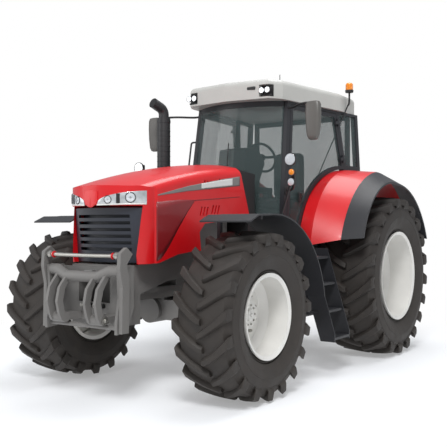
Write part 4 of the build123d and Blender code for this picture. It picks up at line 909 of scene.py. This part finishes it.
@dataclass
class HoodTrim:
    """Colour films along the hood sides, some of them painted shade, the vents' backing and the screen behind
    the grille.

    Args:
        proud: Distance of the film from the skin.
        thick: Thickness of the film.
        back_in: Distance of the vents' backing from the middle, inner face.
        back_out: The same, outer face.
        vents: Place along the machine and height of each group of vents.
        screen_half: Half width of the screen.
        screen_y: Place along the machine of the screen's ends.
        screen_bow: Distance by which its middle stands ahead.
        screen_low: Height of its lower edge.
        screen_high: Height of its upper edge.
    """

    proud: float = 0.0012
    thick: float = 0.002
    back_in: float = 0.478
    back_out: float = 0.484
    vents: tuple[tuple[float, float], ...] = ((-2.96, 1.79), (-2.76, 1.81), (-2.91, 2.06), (-2.65, 2.09))
    screen_half: float = 0.385
    screen_y: float = -3.742
    screen_bow: float = 0.125
    screen_low: float = 1.305
    screen_high: float = 1.80

    def film(
        self, name: str, corners: list[tuple[float, float, float]], finish: Finish, lift: float = 0.0
    ) -> None:
        """Makes a thin film on both hood sides between two edges.

        Args:
            name: Name of the piece.
            corners: Place along the machine, lower height and upper height of each station.
            finish: Its finish.
            lift: Further distance from the skin.
        """
        spots = np.asarray(corners, float)
        along = np.linspace(spots[0, 0], spots[-1, 0], 48)
        low = np.interp(along, spots[:, 0], spots[:, 1])
        high = np.interp(along, spots[:, 0], spots[:, 2])
        share = np.linspace(0, 1, 8)[None, :]
        height = low[:, None] + (high - low)[:, None] * share
        skin = Skin(name, (finish,), "hood")
        for side in SIDES:
            x = np.broadcast_to(side * (NOSE.side(along)[:, None] + 0.008), height.shape)
            y = np.broadcast_to(along[:, None] + AXLE_Y, height.shape)
            skin.grid(np.stack((x, y, height), axis=-1), wrap_cols=False)
        self.lay(skin.build(), self.proud + lift)

    def lay(self, film: bpy.types.Object, proud: float) -> None:
        """Presses a film onto the nearest skin of the hood and gives it its thickness.

        Args:
            film: The film, on both sides of the hood.
            proud: Distance that it keeps from the skin.
        """
        press = film.modifiers.new("press", "SHRINKWRAP")
        press.target = frame["nodes"]["hood_shell"]
        press.wrap_method = "NEAREST_SURFACEPOINT"
        press.offset = proud
        thick = film.modifiers.new("thick", "SOLIDIFY")
        thick.thickness = self.thick
        thick.offset = 0.0
        bpy.context.view_layer.objects.active = film
        for modifier in ("press", "thick"):
            bpy.ops.object.modifier_apply(modifier=modifier)

    def backing(self) -> None:
        """Makes the black plates behind the side vents and the screen behind the grille slots."""
        skin = Skin("vent_backing", (Finish.BLACK,), "hood")
        corners = ((-0.08, -0.06), (0.13, -0.06), (0.15, 0.06), (-0.06, 0.06))
        for side in SIDES:
            low, high = sorted((side * self.back_in, side * self.back_out))
            for y, z in self.vents:
                skin.plate([(y + along + AXLE_Y, z + up) for along, up in corners], low, high)
        skin.build()
        mesh = Skin("grille_screen", (Finish.NAVY,), "hood")
        across = np.linspace(-self.screen_half, self.screen_half, 40)
        bow = self.screen_y - self.screen_bow * (1 - (across / 0.40) ** 2) + AXLE_Y
        low, high = self.screen_low, self.screen_high
        rings = ((0.0, low), (0.0, high), (0.006, high), (0.006, low))
        rows = [np.stack((across, bow + depth, np.full_like(across, z)), axis=-1) for depth, z in rings]
        mesh.grid(np.stack(rows, axis=1))
        mesh.build()

    def build(self) -> None:
        """Makes the stripe, its pale field, the painted shade on the flank behind each leg and along the
        crease, and the backings.
        """
        for name, finish, lift, corners in FILMS:
            self.film(name, corners, finish, lift)
        self.backing()


FILMS = (
    (
        "hood_stripe",
        Finish.STRIPE,
        0.0,
        [(-3.66, 1.925, 1.935), (-3.20, 1.985, 2.035), (-2.60, 2.045, 2.135), (-2.275, 2.078, 2.180)],
    ),
    ("hood_stripe_field", Finish.STRIPE_PALE, 0.0008, [(-2.98, 2.018, 2.070), (-2.42, 2.075, 2.150)]),
    # painted shade: a dark red film over the hood side's recess behind each leg and below the crease
    (
        "hood_flank_painted_shade",
        Finish.PAINTED_SHADE_RED,
        0.0,
        [
            (-3.676, 1.310, 1.868),
            (-3.60, 1.340, 1.872),
            (-3.50, 1.440, 1.882),
            (-3.36, 1.610, 1.894),
            (-3.20, 1.790, 1.900),
            (-3.10, 1.885, 1.900),
        ],
    ),
    # painted shade: a thin dark red film along the hood's crease
    ("hood_crease_painted_shade", Finish.PAINTED_SHADE_RED, 0.0006, [(-3.10, 1.892, 1.900), (-2.27, 1.955, 1.962)]),
)


@dataclass
class Headlamps:
    """Both headlamp units across the nose, and the red lobe of the hood between them.

    Args:
        low: Height of the housings' lower edge.
        inner: Distance of the inner end from the middle.
        outer: Distance of the outer end from the middle.
        rise: Height of the housing at its outer end.
        proud: Distance of the housing from the nose.
        divider: Distance of the dark divider from the middle.
        lamps: Distance from the middle, height and radius of each lamp.
        lobe: Half width of the lobe.
    """

    low: float = 1.829
    inner: float = 0.080
    outer: float = 0.462
    rise: float = 0.140
    proud: float = 0.005
    divider: float = 0.285
    lamps: tuple[tuple[float, float, float], ...] = ((0.190, 1.884, 0.033), (0.374, 1.903, 0.043))
    lobe: float = 0.086

    def patch(
        self,
        skin: Skin,
        across: np.ndarray,
        bottom: np.ndarray,
        top: np.ndarray,
        proud: float,
        slot: int,
    ) -> None:
        """Adds a thin closed cover that follows the ellipse of the nose.

        Args:
            skin: The skin to add to.
            across: Signed distances from the middle.
            bottom: Lower height at each.
            top: Upper height at each.
            proud: Distance from the nose.
            slot: Number of its finish.
        """
        face = NOSE.front(across) + AXLE_Y
        rings = (
            (-0.002, bottom),
            (proud * 0.7, bottom + 0.001),
            (proud, bottom + 0.004),
            (proud, top - 0.004),
            (proud * 0.7, top - 0.001),
            (-0.002, top),
        )
        rows = [np.stack((across, face - offset, height), axis=-1) for offset, height in rings]
        skin.grid(np.stack(rows, axis=1), slot=slot)

    def edge(self, share: np.ndarray) -> np.ndarray:
        """Upper edge of a housing: a steep start beside the lobe, then a slow climb."""
        return self.low + 0.014 + (self.rise - 0.014) * share**0.38

    def lamp(self, skin: Skin, side: int, x: float, z: float, radius: float) -> None:
        """Adds one round lamp with its black ring, reflector and domed lens.

        Args:
            skin: The skin to add to.
            side: 1 on the left and -1 on the right.
            x: Distance from the middle.
            z: Its height.
            radius: Radius of the lens.
        """
        normal = NOSE.normal(side * x)
        face = float(NOSE.front(np.array([x]))[0])
        spot = np.array(at(side * x, face, z)) + np.array(normal) / np.linalg.norm(normal) * 0.004
        ring = [(-0.004, radius * 1.16), (0.004, radius * 1.16), (0.007, radius * 1.02), (0.001, radius)]
        skin.turned(ring + [(0.0, radius * 0.3)], tuple(spot), normal, slot=1)
        dish = [(0.000, radius * 0.98), (0.0025, radius * 0.8), (0.004, radius * 0.3)]
        skin.turned(dish, tuple(spot), normal, slot=2)
        dome = [(0.004, radius), (0.009, radius * 0.8), (0.012, radius * 0.3)]
        skin.turned(dome, tuple(spot), normal, slot=3)

    def build(self) -> None:
        """Makes the housings, lamps, dividers, lower edges and the lobe."""
        finishes = (Finish.REFLECTOR, Finish.BLACK, Finish.CHROME, Finish.LENS, Finish.WHITE_RIM)
        skin = Skin("headlamp_units", finishes, "hood")
        share = np.linspace(0, 1, 36)
        across = self.inner + (self.outer - self.inner) * share
        narrow = np.linspace(self.divider - 0.014, self.divider + 0.014, 4)
        for side in SIDES:
            bottom = self.low + 0.010 * share
            self.patch(skin, side * across, bottom, self.edge(share), self.proud, 0)
            self.patch(skin, side * across, bottom, bottom + 0.013, self.proud + 0.003, 4)
            self.patch(skin, side * narrow, np.full(4, 1.848), np.full(4, 1.940), 0.010, 1)
            for x, z, radius in self.lamps:
                self.lamp(skin, side, x, z, radius)
        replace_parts(skin.build(), "headlamps")
        lobe = Skin("hood_lobe", (Finish.RED,), "hood")
        across = np.linspace(-self.lobe, self.lobe, 24)
        way = across / self.lobe
        self.patch(lobe, across, 1.812 + 0.060 * way**2, 1.975 - 0.010 * way**2, 0.007, 0)
        lobe.build()


@dataclass
class RoundLamp:
    """A round work lamp: a black bowl, a bright reflector and a domed lens.

    Args:
        name: Name of the piece.
        place: Middle of the lens.
        radius: Radius of the bowl.
        body: The body that it rides on.
        ahead: Direction that it shines in.
        lens: Finish of the lens.
    """

    name: str
    place: tuple[float, float, float]
    radius: float
    body: str = "chassis"
    ahead: tuple[float, float, float] = (0.0, -1.0, 0.0)
    lens: Finish = Finish.LENS

    def build(self) -> bpy.types.Object:
        """Makes the bowl, the reflector and the lens."""
        r = self.radius
        skin = Skin(self.name, (Finish.BLACK, Finish.CHROME, self.lens), self.body)
        back = tuple(-value for value in self.ahead)
        rim = [(-0.004, 0.88 * r), (-0.008, r), (0.012, 1.03 * r)]
        bowl = rim + [(0.30 * r, 0.97 * r), (0.75 * r, 0.6 * r), (0.86 * r, 0.3 * r)]
        skin.turned(bowl, self.place, back, slot=0)
        dish = [(-0.006, 0.90 * r), (-0.001, 0.87 * r), (0.0, 0.6 * r), (0.001, 0.2 * r)]
        skin.turned(dish, self.place, back, slot=1)
        dome = [(0.004, 0.90 * r), (0.010, 0.80 * r), (0.016, 0.50 * r), (0.018, 0.15 * r)]
        skin.turned(dome, self.place, self.ahead, slot=2)
        return skin.build()


@dataclass
class SeatPad:
    """A seat cushion blown up by a cloth simulation and carried on its solid's place.

    Args:
        name: Name of the piece.
        low: Lowest corner of its space.
        high: Highest corner of its space.
        swell: Most that a point may move.
        voxel: Size of the even mesh that the simulation runs on.
    """

    name: str
    low: tuple[float, float, float]
    high: tuple[float, float, float]
    swell: float = 0.014
    voxel: float = 0.012

    def build(self) -> bpy.types.Object:
        """Makes the pad and blows it up."""
        low, high = np.asarray(self.low), np.asarray(self.high)
        half = (high - low) / 2 - 0.008
        skin = Skin(self.name, (Finish.FABRIC,), "chassis", sharp=70)
        skin.pebble(tuple((low + high) / 2), tuple(half), square=0.28, steps=48)
        made = skin.build()
        self._inflate(made)
        return made

    def _inflate(self, pad: bpy.types.Object) -> None:
        """Runs the cloth with pressure and keeps each point within the swell.

        Args:
            pad: The pad to change.
        """
        remesh = pad.modifiers.new("even", "REMESH")
        remesh.mode = "VOXEL"
        remesh.voxel_size = self.voxel
        bpy.context.view_layer.objects.active = pad
        pad.select_set(True)
        bpy.ops.object.modifier_apply(modifier=remesh.name)
        start = np.empty(len(pad.data.vertices) * 3, np.float32)
        pad.data.vertices.foreach_get("co", start)
        cloth = pad.modifiers.new("air", "CLOTH")
        cloth.settings.use_pressure = True
        cloth.settings.uniform_pressure_force = 4.0
        cloth.settings.effector_weights.gravity = 0.0
        for step in range(1, 21):
            bpy.context.scene.frame_set(step)
        shape = pad.evaluated_get(bpy.context.evaluated_depsgraph_get())
        end = np.empty_like(start)
        shape.data.vertices.foreach_get("co", end)
        pad.modifiers.remove(cloth)
        move = (end - start).reshape(-1, 3)
        length = np.linalg.norm(move, axis=1, keepdims=True)
        move *= np.minimum(1.0, self.swell / np.maximum(length, 1e-9))
        pad.data.vertices.foreach_set("co", (start.reshape(-1, 3) + move).ravel())
        pad.data.update()
        pad.data.shade_smooth()
        bpy.context.scene.frame_set(1)
        pad.select_set(False)


@dataclass
class Studio:
    """Pale floor, soft lights and the camera of the photograph.

    Args:
        camera: Place of the camera.
        look: Direction that it looks in.
        lens: Focal length in millimetres.
        sensor: Width of the sensor in millimetres.
        reach: Half side of the floor.
        near: Distance from the middle at which the floor starts to turn plain white.
        far: Distance at which it is plain white.
        lamps: Name, place, power in watts and side in metres of each light.
    """

    camera: tuple[float, float, float] = (4.8316, -7.3969, 1.6458)
    look: tuple[float, float, float] = (-0.5657, 0.8246, 0.0027)
    lens: float = 58.36
    sensor: float = 36.0
    reach: float = 60.0
    near: float = 2.6
    far: float = 5.2
    lamps: tuple[tuple[str, tuple[float, float, float], float, float], ...] = (
        ("key", (5.0, -8.5, 10.0), 1000.0, 3.0),
        ("front_fill", (-7.0, -8.0, 5.0), 200.0, 6.0),
        ("top", (1.0, 2.0, 10.0), 560.0, 6.0),
    )

    def floor(self) -> None:
        """Lays a wide pale floor that keeps the object's shadow and turns white further out."""
        mesh = bpy.data.meshes.new("studio_floor")
        corners = [(x * self.reach, y * self.reach, 0) for x, y in ((-1, -1), (1, -1), (1, 1), (-1, 1))]
        mesh.from_pydata(corners, [], [(0, 1, 2, 3)])
        ground = bpy.data.objects.new("studio_floor", mesh)
        bpy.context.scene.collection.objects.link(ground)
        material = bpy.data.materials.new("studio_floor")
        material.use_nodes = True
        shader = material.node_tree.nodes["Principled BSDF"]
        shader.inputs["Base Color"].default_value = (0.93, 0.95, 0.98, 1.0)
        shader.inputs["Roughness"].default_value = 0.9
        shader.inputs["Specular IOR Level"].default_value = 0.1
        nodes, link = material.node_tree.nodes, material.node_tree.links.new
        place = nodes.new("ShaderNodeTexCoord")
        away = nodes.new("ShaderNodeVectorMath")
        away.operation = "LENGTH"
        fade = nodes.new("ShaderNodeMapRange")
        fade.interpolation_type = "SMOOTHSTEP"
        fade.inputs["From Min"].default_value = self.near
        fade.inputs["From Max"].default_value = self.far
        fade.inputs["To Min"].default_value = 0.30
        white = nodes.new("ShaderNodeEmission")
        white.inputs["Color"].default_value = (1.0, 1.0, 1.0, 1.0)
        white.inputs["Strength"].default_value = 1.0
        mix = nodes.new("ShaderNodeMixShader")
        link(place.outputs["Object"], away.inputs[0])
        link(away.outputs["Value"], fade.inputs["Value"])
        link(fade.outputs["Result"], mix.inputs["Fac"])
        link(shader.outputs["BSDF"], mix.inputs[1])
        link(white.outputs["Emission"], mix.inputs[2])
        link(mix.outputs[0], nodes["Material Output"].inputs["Surface"])
        mesh.materials.append(material)

    def sky(self) -> None:
        """Lights the object softly and shows plain white behind it."""
        world = bpy.data.worlds.new("studio")
        bpy.context.scene.world = world
        world.use_nodes = True
        nodes, link = world.node_tree.nodes, world.node_tree.links.new
        soft = nodes["Background"]
        soft.inputs["Color"].default_value = (0.93, 0.96, 1.0, 1.0)
        soft.inputs["Strength"].default_value = 0.46
        white = nodes.new("ShaderNodeBackground")
        white.inputs["Color"].default_value = (1.0, 1.0, 1.0, 1.0)
        white.inputs["Strength"].default_value = 1.0
        path = nodes.new("ShaderNodeLightPath")
        seen = nodes.new("ShaderNodeMath")
        seen.operation = "MAXIMUM"
        mix = nodes.new("ShaderNodeMixShader")
        link(path.outputs["Is Camera Ray"], seen.inputs[0])
        link(path.outputs["Is Transmission Ray"], seen.inputs[1])
        link(seen.outputs[0], mix.inputs["Fac"])
        link(soft.outputs[0], mix.inputs[1])
        link(white.outputs[0], mix.inputs[2])
        link(mix.outputs[0], nodes["World Output"].inputs["Surface"])

    def lamp(self, name: str, place: tuple[float, float, float], power: float, size: float) -> None:
        """Hangs a square soft light that points at the middle of the machine.

        Args:
            name: Name of the light.
            place: Its place.
            power: Its power in watts.
            size: Its side in metres.
        """
        light = bpy.data.lights.new(name, "AREA")
        light.energy = power
        light.size = size
        hung = bpy.data.objects.new(name, light)
        hung.location = place
        hung.rotation_euler = (Vector((0, 0, 1.4)) - Vector(place)).to_track_quat("-Z", "Y").to_euler()
        bpy.context.scene.collection.objects.link(hung)

    def build(self) -> None:
        """Makes the floor, the lights and the camera."""
        self.floor()
        self.sky()
        for lamp in self.lamps:
            self.lamp(*lamp)
        lens = bpy.data.cameras.new("photo_view")
        lens.lens = self.lens
        lens.sensor_width = self.sensor
        camera = bpy.data.objects.new("photo_view", lens)
        camera.location = self.camera
        camera.rotation_euler = Vector(self.look).to_track_quat("-Z", "Y").to_euler()
        bpy.context.scene.collection.objects.link(camera)
        bpy.context.scene.camera = camera
        bpy.context.scene.view_settings.view_transform = "Standard"


def dress_nodes() -> None:
    """Gives each carried-over solid the finish of its slot, the grille a dark blue grey one."""
    slots = {row["node"]: row["material_slot"] for row in frame["record"]["subparts"]}
    special = {"grille": Finish.NAVY}
    for name, node in frame["nodes"].items():
        finish = special.get(name, SLOT_FINISH[slots[name]])
        node.data.materials.clear()
        node.data.materials.append(SHOP.material(finish))
    LOG.info("dressed %d solids", len(slots))


@dataclass(frozen=True)
class Axle:
    """Sizes of the wheels of one axle.

    Args:
        name: Front or rear.
        tyre: Radius, section width, bead radius, half bead width, bars a side and bar height.
        fitting: Disc and hub faces from the middle, radius of the nuts' circle, nuts, hub radius.
    """

    name: str
    tyre: tuple[float, float, float, float, int, float]
    fitting: tuple[float, float, float, int, float]


AXLES = (
    Axle("front", (0.800, 0.600, 0.406, 0.232, 19, 0.046), (1.068, 1.145, 0.205, 10, 0.135)),
    Axle("rear", (1.010, 0.715, 0.559, 0.284, 21, 0.054), (1.048, 1.090, 0.235, 10, 0.14)),
)


def wheels() -> None:
    """Builds tyres and wheel fittings for all four corners."""
    for side, word in SIDES.items():
        for axle in AXLES:
            Tyre(f"tyre_{axle.name}_{word}", f"wheel_{axle.name}_{word}", *axle.tyre).build()
        for axle in AXLES:
            WheelNuts(f"rim_{axle.name}_{word}", f"wheel_{axle.name}_{word}", side, *axle.fitting).build()


def side_x(y: float, z: float) -> float:
    """Distance of the cab's leaning side face from the middle at a place and height."""
    return 0.850 + 0.131 * (y + 0.270) - 0.054 * (z - 2.230)


@dataclass
class LampPosts:
    """Roof lamps in their pockets and the lamp posts at the cab's front corners.

    Args:
        post: Distance of a post from the middle.
        post_y: Place of the posts along the machine.
        start_y: Place on the pillar from which the arm runs.
        arm_z: Height of the arm.
        pocket: Corners of a roof pocket's liner, as inner, outer, lower and upper place.
    """

    post: float = 1.06
    post_y: float = -2.06
    start_y: float = -1.594
    arm_z: float = 2.05
    pocket: tuple[float, float, float, float] = (0.444, 0.596, 3.134, 3.266)

    def build(self) -> None:
        """Makes the posts with brackets, the lamps on them and those on the roof."""
        skin = Skin("lamp_posts", (Finish.BLACK_METAL, Finish.BLACK), "chassis")
        for side, word in SIDES.items():
            foot = side_x(self.start_y, self.arm_z) + 0.003
            route = [
                at(side * foot, self.start_y, self.arm_z),
                at(side * (foot + 0.06), self.start_y, self.arm_z),
                at(side * self.post, self.post_y, self.arm_z),
                at(side * self.post, self.post_y, 2.455),
            ]
            skin.tube(route, 0.015, smooth=3)
            pad = at(side * (foot + 0.012), self.start_y, self.arm_z)
            skin.pebble(pad, (0.011, 0.035, 0.045), slot=1)
            for z, half in ((2.35, 0.045), (2.215, 0.030), (2.11, 0.032)):
                skin.pebble(at(side * self.post, self.post_y - 0.012, z), (0.020, 0.020, half), slot=1)
            inner, outer, low, high = self.pocket
            liner = [(side * x, z) for x, z in ((inner, low), (outer, low), (outer, high), (inner, high))]
            skin.plate(liner, -1.712 + AXLE_Y, -1.702 + AXLE_Y, axis=1, slot=1)
            skin.pebble(at(side * 0.520, -1.727, 3.146), (0.068, 0.022, 0.012), slot=1)
            for index, x in enumerate((0.483, 0.559)):
                RoundLamp(f"roof_lamp_{word}_{index}", at(side * x, -1.786, 3.200), 0.0355).build()
            RoundLamp("post_lamp_" + word, at(side * self.post, -2.148, 2.35), 0.068).build()
            RoundLamp("low_lamp_" + word, at(side * self.post, -2.128, 2.11), 0.043).build()
            spot = at(side * self.post, -2.118, 2.215)
            RoundLamp("flasher_" + word, spot, 0.038, lens=Finish.AMBER).build()
        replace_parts(skin.build(), "work_lamps")


@dataclass
class Mirrors:
    """Wide mirrors: rounded housings that narrow downwards, the glass and the arms.

    Args:
        x: Distance of a housing's middle from the machine's middle.
        y: Its place along the machine.
        foot_y: Place on the pillar from which the arm runs.
        arm_z: Height of the arm.
    """

    x: float = 1.130
    y: float = -1.752
    foot_y: float = -1.460
    arm_z: float = 3.025

    def build(self) -> None:
        """Makes both housings as stacked superellipse rings, their glass and their arms."""
        skin = Skin("mirror_heads", (Finish.MIRROR, Finish.CHROME, Finish.BLACK), "chassis")
        for side in SIDES:
            foot = side_x(self.foot_y, self.arm_z) + 0.0025
            route = [
                at(side * foot, self.foot_y, self.arm_z),
                at(side * (foot + 0.08), self.foot_y, self.arm_z),
                at(side * 0.90, -1.65, self.arm_z),
                at(side * self.x, -1.75, 3.010),
                at(side * self.x, self.y, 2.90),
            ]
            skin.tube(route, 0.013, slot=2, smooth=3)
            self.housing(skin, side)
        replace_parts(skin.build(), "mirrors")

    def housing(self, skin: Skin, side: int) -> None:
        """Adds one housing and its glass.

        The rings are superellipses whose width shrinks below and at the crown of the housing.

        Args:
            skin: The skin to add to.
            side: 1 on the left and -1 on the right.
        """
        height = np.array((2.590, 2.600, 2.640, 2.75, 2.88, 2.98, 3.012, 3.021))
        wide = np.array((0.030, 0.052, 0.072, 0.084, 0.089, 0.086, 0.072, 0.045))
        deep = np.array((0.018, 0.028, 0.037, 0.043, 0.046, 0.045, 0.036, 0.020))
        angle = np.linspace(0, FULL_TURN, 28, endpoint=False)
        x = np.sign(np.cos(angle)) * np.abs(np.cos(angle)) ** 0.55
        y = np.sign(np.sin(angle)) * np.abs(np.sin(angle)) ** 0.55
        surface = np.stack(
            (
                side * self.x + wide[:, None] * x,
                self.y + AXLE_Y + deep[:, None] * y,
                np.broadcast_to(height[:, None], (len(height), len(angle))),
            ),
            axis=-1,
        )
        skin.grid(surface)
        corners = ((-0.066, 2.66), (0.066, 2.66), (0.072, 2.97), (-0.072, 2.97))
        glass = [(side * self.x + across, z) for across, z in corners]
        skin.plate(glass, -1.711 + AXLE_Y, -1.7055 + AXLE_Y, axis=1, slot=1)


@dataclass
class Beacon:
    """Amber beacon on its bent stalk.

    Args:
        x: Distance of its middle from the machine's middle.
        y: Its place along the machine.
        ribs: Number of ribs round the lens.
        pitch: Height from rib to rib.
    """

    x: float = 0.868
    y: float = -0.24
    ribs: int = 7
    pitch: float = 0.010

    def build(self) -> None:
        """Makes the stalk, the black foot, the ribbed lens and the cap."""
        skin = Skin("beacon_head", (Finish.AMBER, Finish.BLACK), "chassis")
        route = [at(0.820, self.y, 3.2), at(self.x, self.y, 3.2), at(self.x, self.y, 3.39)]
        skin.tube(route, 0.012, slot=1, smooth=3)
        foot = [(0.0, 0.030), (0.004, 0.050), (0.030, 0.055), (0.036, 0.050)]
        skin.turned(foot, at(self.x, self.y, 3.362), (0, 0, 1), slot=1)
        lens = [(0.0, 0.046)]
        for step in range(self.ribs):
            lens += [(0.006 + self.pitch * step, 0.049), (0.011 + self.pitch * step, 0.0465)]
        lens += [(0.082, 0.042), (0.092, 0.030), (0.098, 0.012)]
        skin.turned(lens, at(self.x, self.y, 3.398), (0, 0, 1), steps=40)
        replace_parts(skin.build(), "beacon")


@dataclass
class CabTrim:
    """Small pieces on the cab: wiper, door handles, roof hatch and a dark insert in its front."""

    def build(self) -> None:
        """Makes the wiper, the roof pieces and the door handles."""
        skin = Skin("cab_trim", (Finish.BLACK, Finish.ROOF), "chassis")
        skin.tube([at(0.16, -1.885, 1.735), at(0.12, -1.870, 1.95), at(0.02, -1.815, 2.33)], 0.007)
        skin.tube([at(0.02, -1.855, 2.03), at(0.02, -1.818, 2.33), at(0.02, -1.778, 2.62)], 0.006)
        skin.turned([(0, 0.022), (0.018, 0.020), (0.024, 0.012)], at(0.16, -1.870, 1.735), (0, -1, 0.15))
        skin.pebble(at(0.337, -1.786, 3.236), (0.060, 0.008, 0.018), square=0.2)
        corners = ((-0.32, -1.12), (0.32, -1.12), (0.30, -0.55), (-0.30, -0.55))
        hatch = [(x, y + AXLE_Y) for x, y in corners]
        skin.plate(hatch, 3.338, 3.352, axis=2, bevel=0.010, slot=1)
        skin.build()
        for side, word in SIDES.items():
            y, z = -1.34, 1.98
            handle = Skin("door_handle_" + word, (Finish.BLACK,), "door_" + word)
            x = side_x(y, z)
            handle.pebble(at(side * (x + 0.012), y, z), (0.011, 0.030, 0.060), turn=side * 0.13)
            steps = ((0.014, 0.0, -0.05), (0.040, 0.01, -0.045), (0.040, 0.01, 0.045), (0.014, 0.0, 0.05))
            handle.tube([at(side * (x + out), y + along, z + up) for out, along, up in steps], 0.008)
            handle.build()


@dataclass
class ExhaustTrim:
    """Clamps and ribs round the exhaust stack and the dark mouth of its tip.

    Args:
        x: Distance of the stack from the middle, to the right.
        y: Its place along the machine.
    """

    x: float = -0.80
    y: float = -1.985

    def build(self) -> None:
        """Makes three clamps, the heat shield's ribs and the mouth."""
        skin = Skin("exhaust_trim", (Finish.BLACK_METAL, Finish.BLACK), "chassis")
        band = [(0.0, 0.0795), (0.001, 0.084), (0.034, 0.084), (0.035, 0.0795)]
        for z in (1.745, 2.20, 2.90):
            skin.turned(band, at(self.x, self.y, z), (0, 0, 1))
        rib = [(0.0, 0.0795), (0.002, 0.0825), (0.010, 0.0825), (0.012, 0.0795)]
        for step in range(9):
            skin.turned(rib, at(self.x, self.y, 2.30 + 0.062 * step), (0, 0, 1))
        tip = [(0.0, 0.050), (0.001, 0.058), (0.004, 0.058), (0.004, 0.054)]
        skin.turned(tip, at(-0.830, -2.155, 3.1295), (-0.16, -0.92, 0.36), slot=1)
        skin.build()


@dataclass
class FrontLinkage:
    """Small pieces of the front linkage: the hook bar, nose pins, couplers and clevis.

    Args:
        bar_z: Height of the hook bar's ends.
        couplers: Number of couplers on the plate.
    """

    bar_z: float = 1.375
    couplers: int = 4

    def build(self) -> None:
        """Makes what rides on the hook arms and what stays on the frame."""
        bar = Skin("hook_bar", (Finish.STEEL, Finish.RED), "front_lift")
        ends = [at(-0.467, -4.145, self.bar_z), at(0.0, -4.152, 1.370), at(0.467, -4.145, self.bar_z)]
        bar.tube(ends, 0.018)
        ball = [(-0.030, 0.014), (-0.024, 0.026), (0.0, 0.034), (0.024, 0.026), (0.030, 0.014)]
        for side in SIDES:
            bar.turned(ball, at(side * 0.425, -4.146, self.bar_z), (1, 0, 0))
            seat = [(0.0, 0.022), (0.002, 0.030), (0.012, 0.030), (0.014, 0.022)]
            bar.turned(seat, at(side * 0.378, -4.147, 1.374), (1, 0, 0), slot=1)
        bar.build()
        frame_trim = Skin("linkage_trim", (Finish.LIGHT_GREY, Finish.STEEL, Finish.BLACK), "chassis")
        pin = [(0.0, 0.020), (0.004, 0.034), (0.014, 0.034), (0.016, 0.018), (0.030, 0.016), (0.032, 0.010)]
        for side in SIDES:
            frame_trim.turned(pin, at(side * 0.460, -4.120, 0.730), (side, 0, 0), slot=1)
            frame_trim.turned(pin, at(side * 0.322, -4.195, 0.800), (side, 0, 0), slot=1)
        neck = [(0.0, 0.018), (0.006, 0.024), (0.030, 0.024)]
        plug = neck + [(0.034, 0.019), (0.050, 0.018), (0.052, 0.010)]
        for index in range(self.couplers):
            spot = at(-0.12 + 0.08 * index, -3.993, 0.90)
            frame_trim.turned(plug, spot, (0, -1, 0), steps=20, slot=2 if index % 2 else 1)
        frame_trim.pebble(at(0.0, -4.035, 1.20), (0.05, 0.045, 0.035), square=0.25)
        cross_pin = [(0, 0.014), (0.002, 0.018), (0.14, 0.018), (0.142, 0.012)]
        frame_trim.turned(cross_pin, at(-0.07, -4.055, 1.20), (1, 0, 0), slot=1)
        frame_trim.build()


@dataclass
class RearLamps:
    """Tail lamps at the rear ends of the fenders, and the fuel filler.

    Args:
        height: Height of the lamps.
    """

    height: float = 1.520

    def build(self) -> None:
        """Makes the lamp clusters and the filler with its cap."""
        skin = Skin("tail_lamps", (Finish.BLACK, Finish.RED, Finish.AMBER), "chassis")
        for side in SIDES:
            skin.pebble(at(side * 1.03, 1.058, self.height), (0.115, 0.022, 0.050), square=0.22)
            for slot, x, half in ((1, 0.985, 0.050), (2, 1.090, 0.042)):
                spot = at(side * x, 1.078, self.height)
                skin.pebble(spot, (half, 0.010, 0.038), square=0.22, slot=slot)
        skin.build()
        neck = Skin("filler_neck", (Finish.TURQUOISE, Finish.BLACK), "chassis")
        neck.tube([at(0.66, -1.74, 1.205), at(0.68, -1.75, 1.30), at(0.74, -1.76, 1.36)], 0.032, slot=1)
        cap = [(0.0, 0.036), (0.002, 0.044), (0.022, 0.044), (0.030, 0.038), (0.032, 0.014)]
        neck.turned(cap, at(0.738, -1.76, 1.358), (0.75, -0.1, 0.6))
        neck.build()


def main() -> None:
    """Builds every piece in order."""
    logging.basicConfig(level=logging.INFO, format="%(name)s %(message)s")
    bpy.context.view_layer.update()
    Studio().build()
    dress_nodes()
    wheels()
    HoodTrim().build()
    Headlamps().build()
    LampPosts().build()
    Mirrors().build()
    Beacon().build()
    CabTrim().build()
    ExhaustTrim().build()
    FrontLinkage().build()
    RearLamps().build()
    SeatPad("seat_cushion", (-0.25, -0.80 + AXLE_Y, 1.8603), (0.25, -0.26 + AXLE_Y, 1.99)).build()
    SeatPad("seat_back", (-0.24, -0.345 + AXLE_Y, 1.991), (0.24, -0.2303 + AXLE_Y, 2.64)).build()
    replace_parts(bpy.data.objects["seat_cushion"], "seat_pads")


if __name__ == "__main__":
    main()
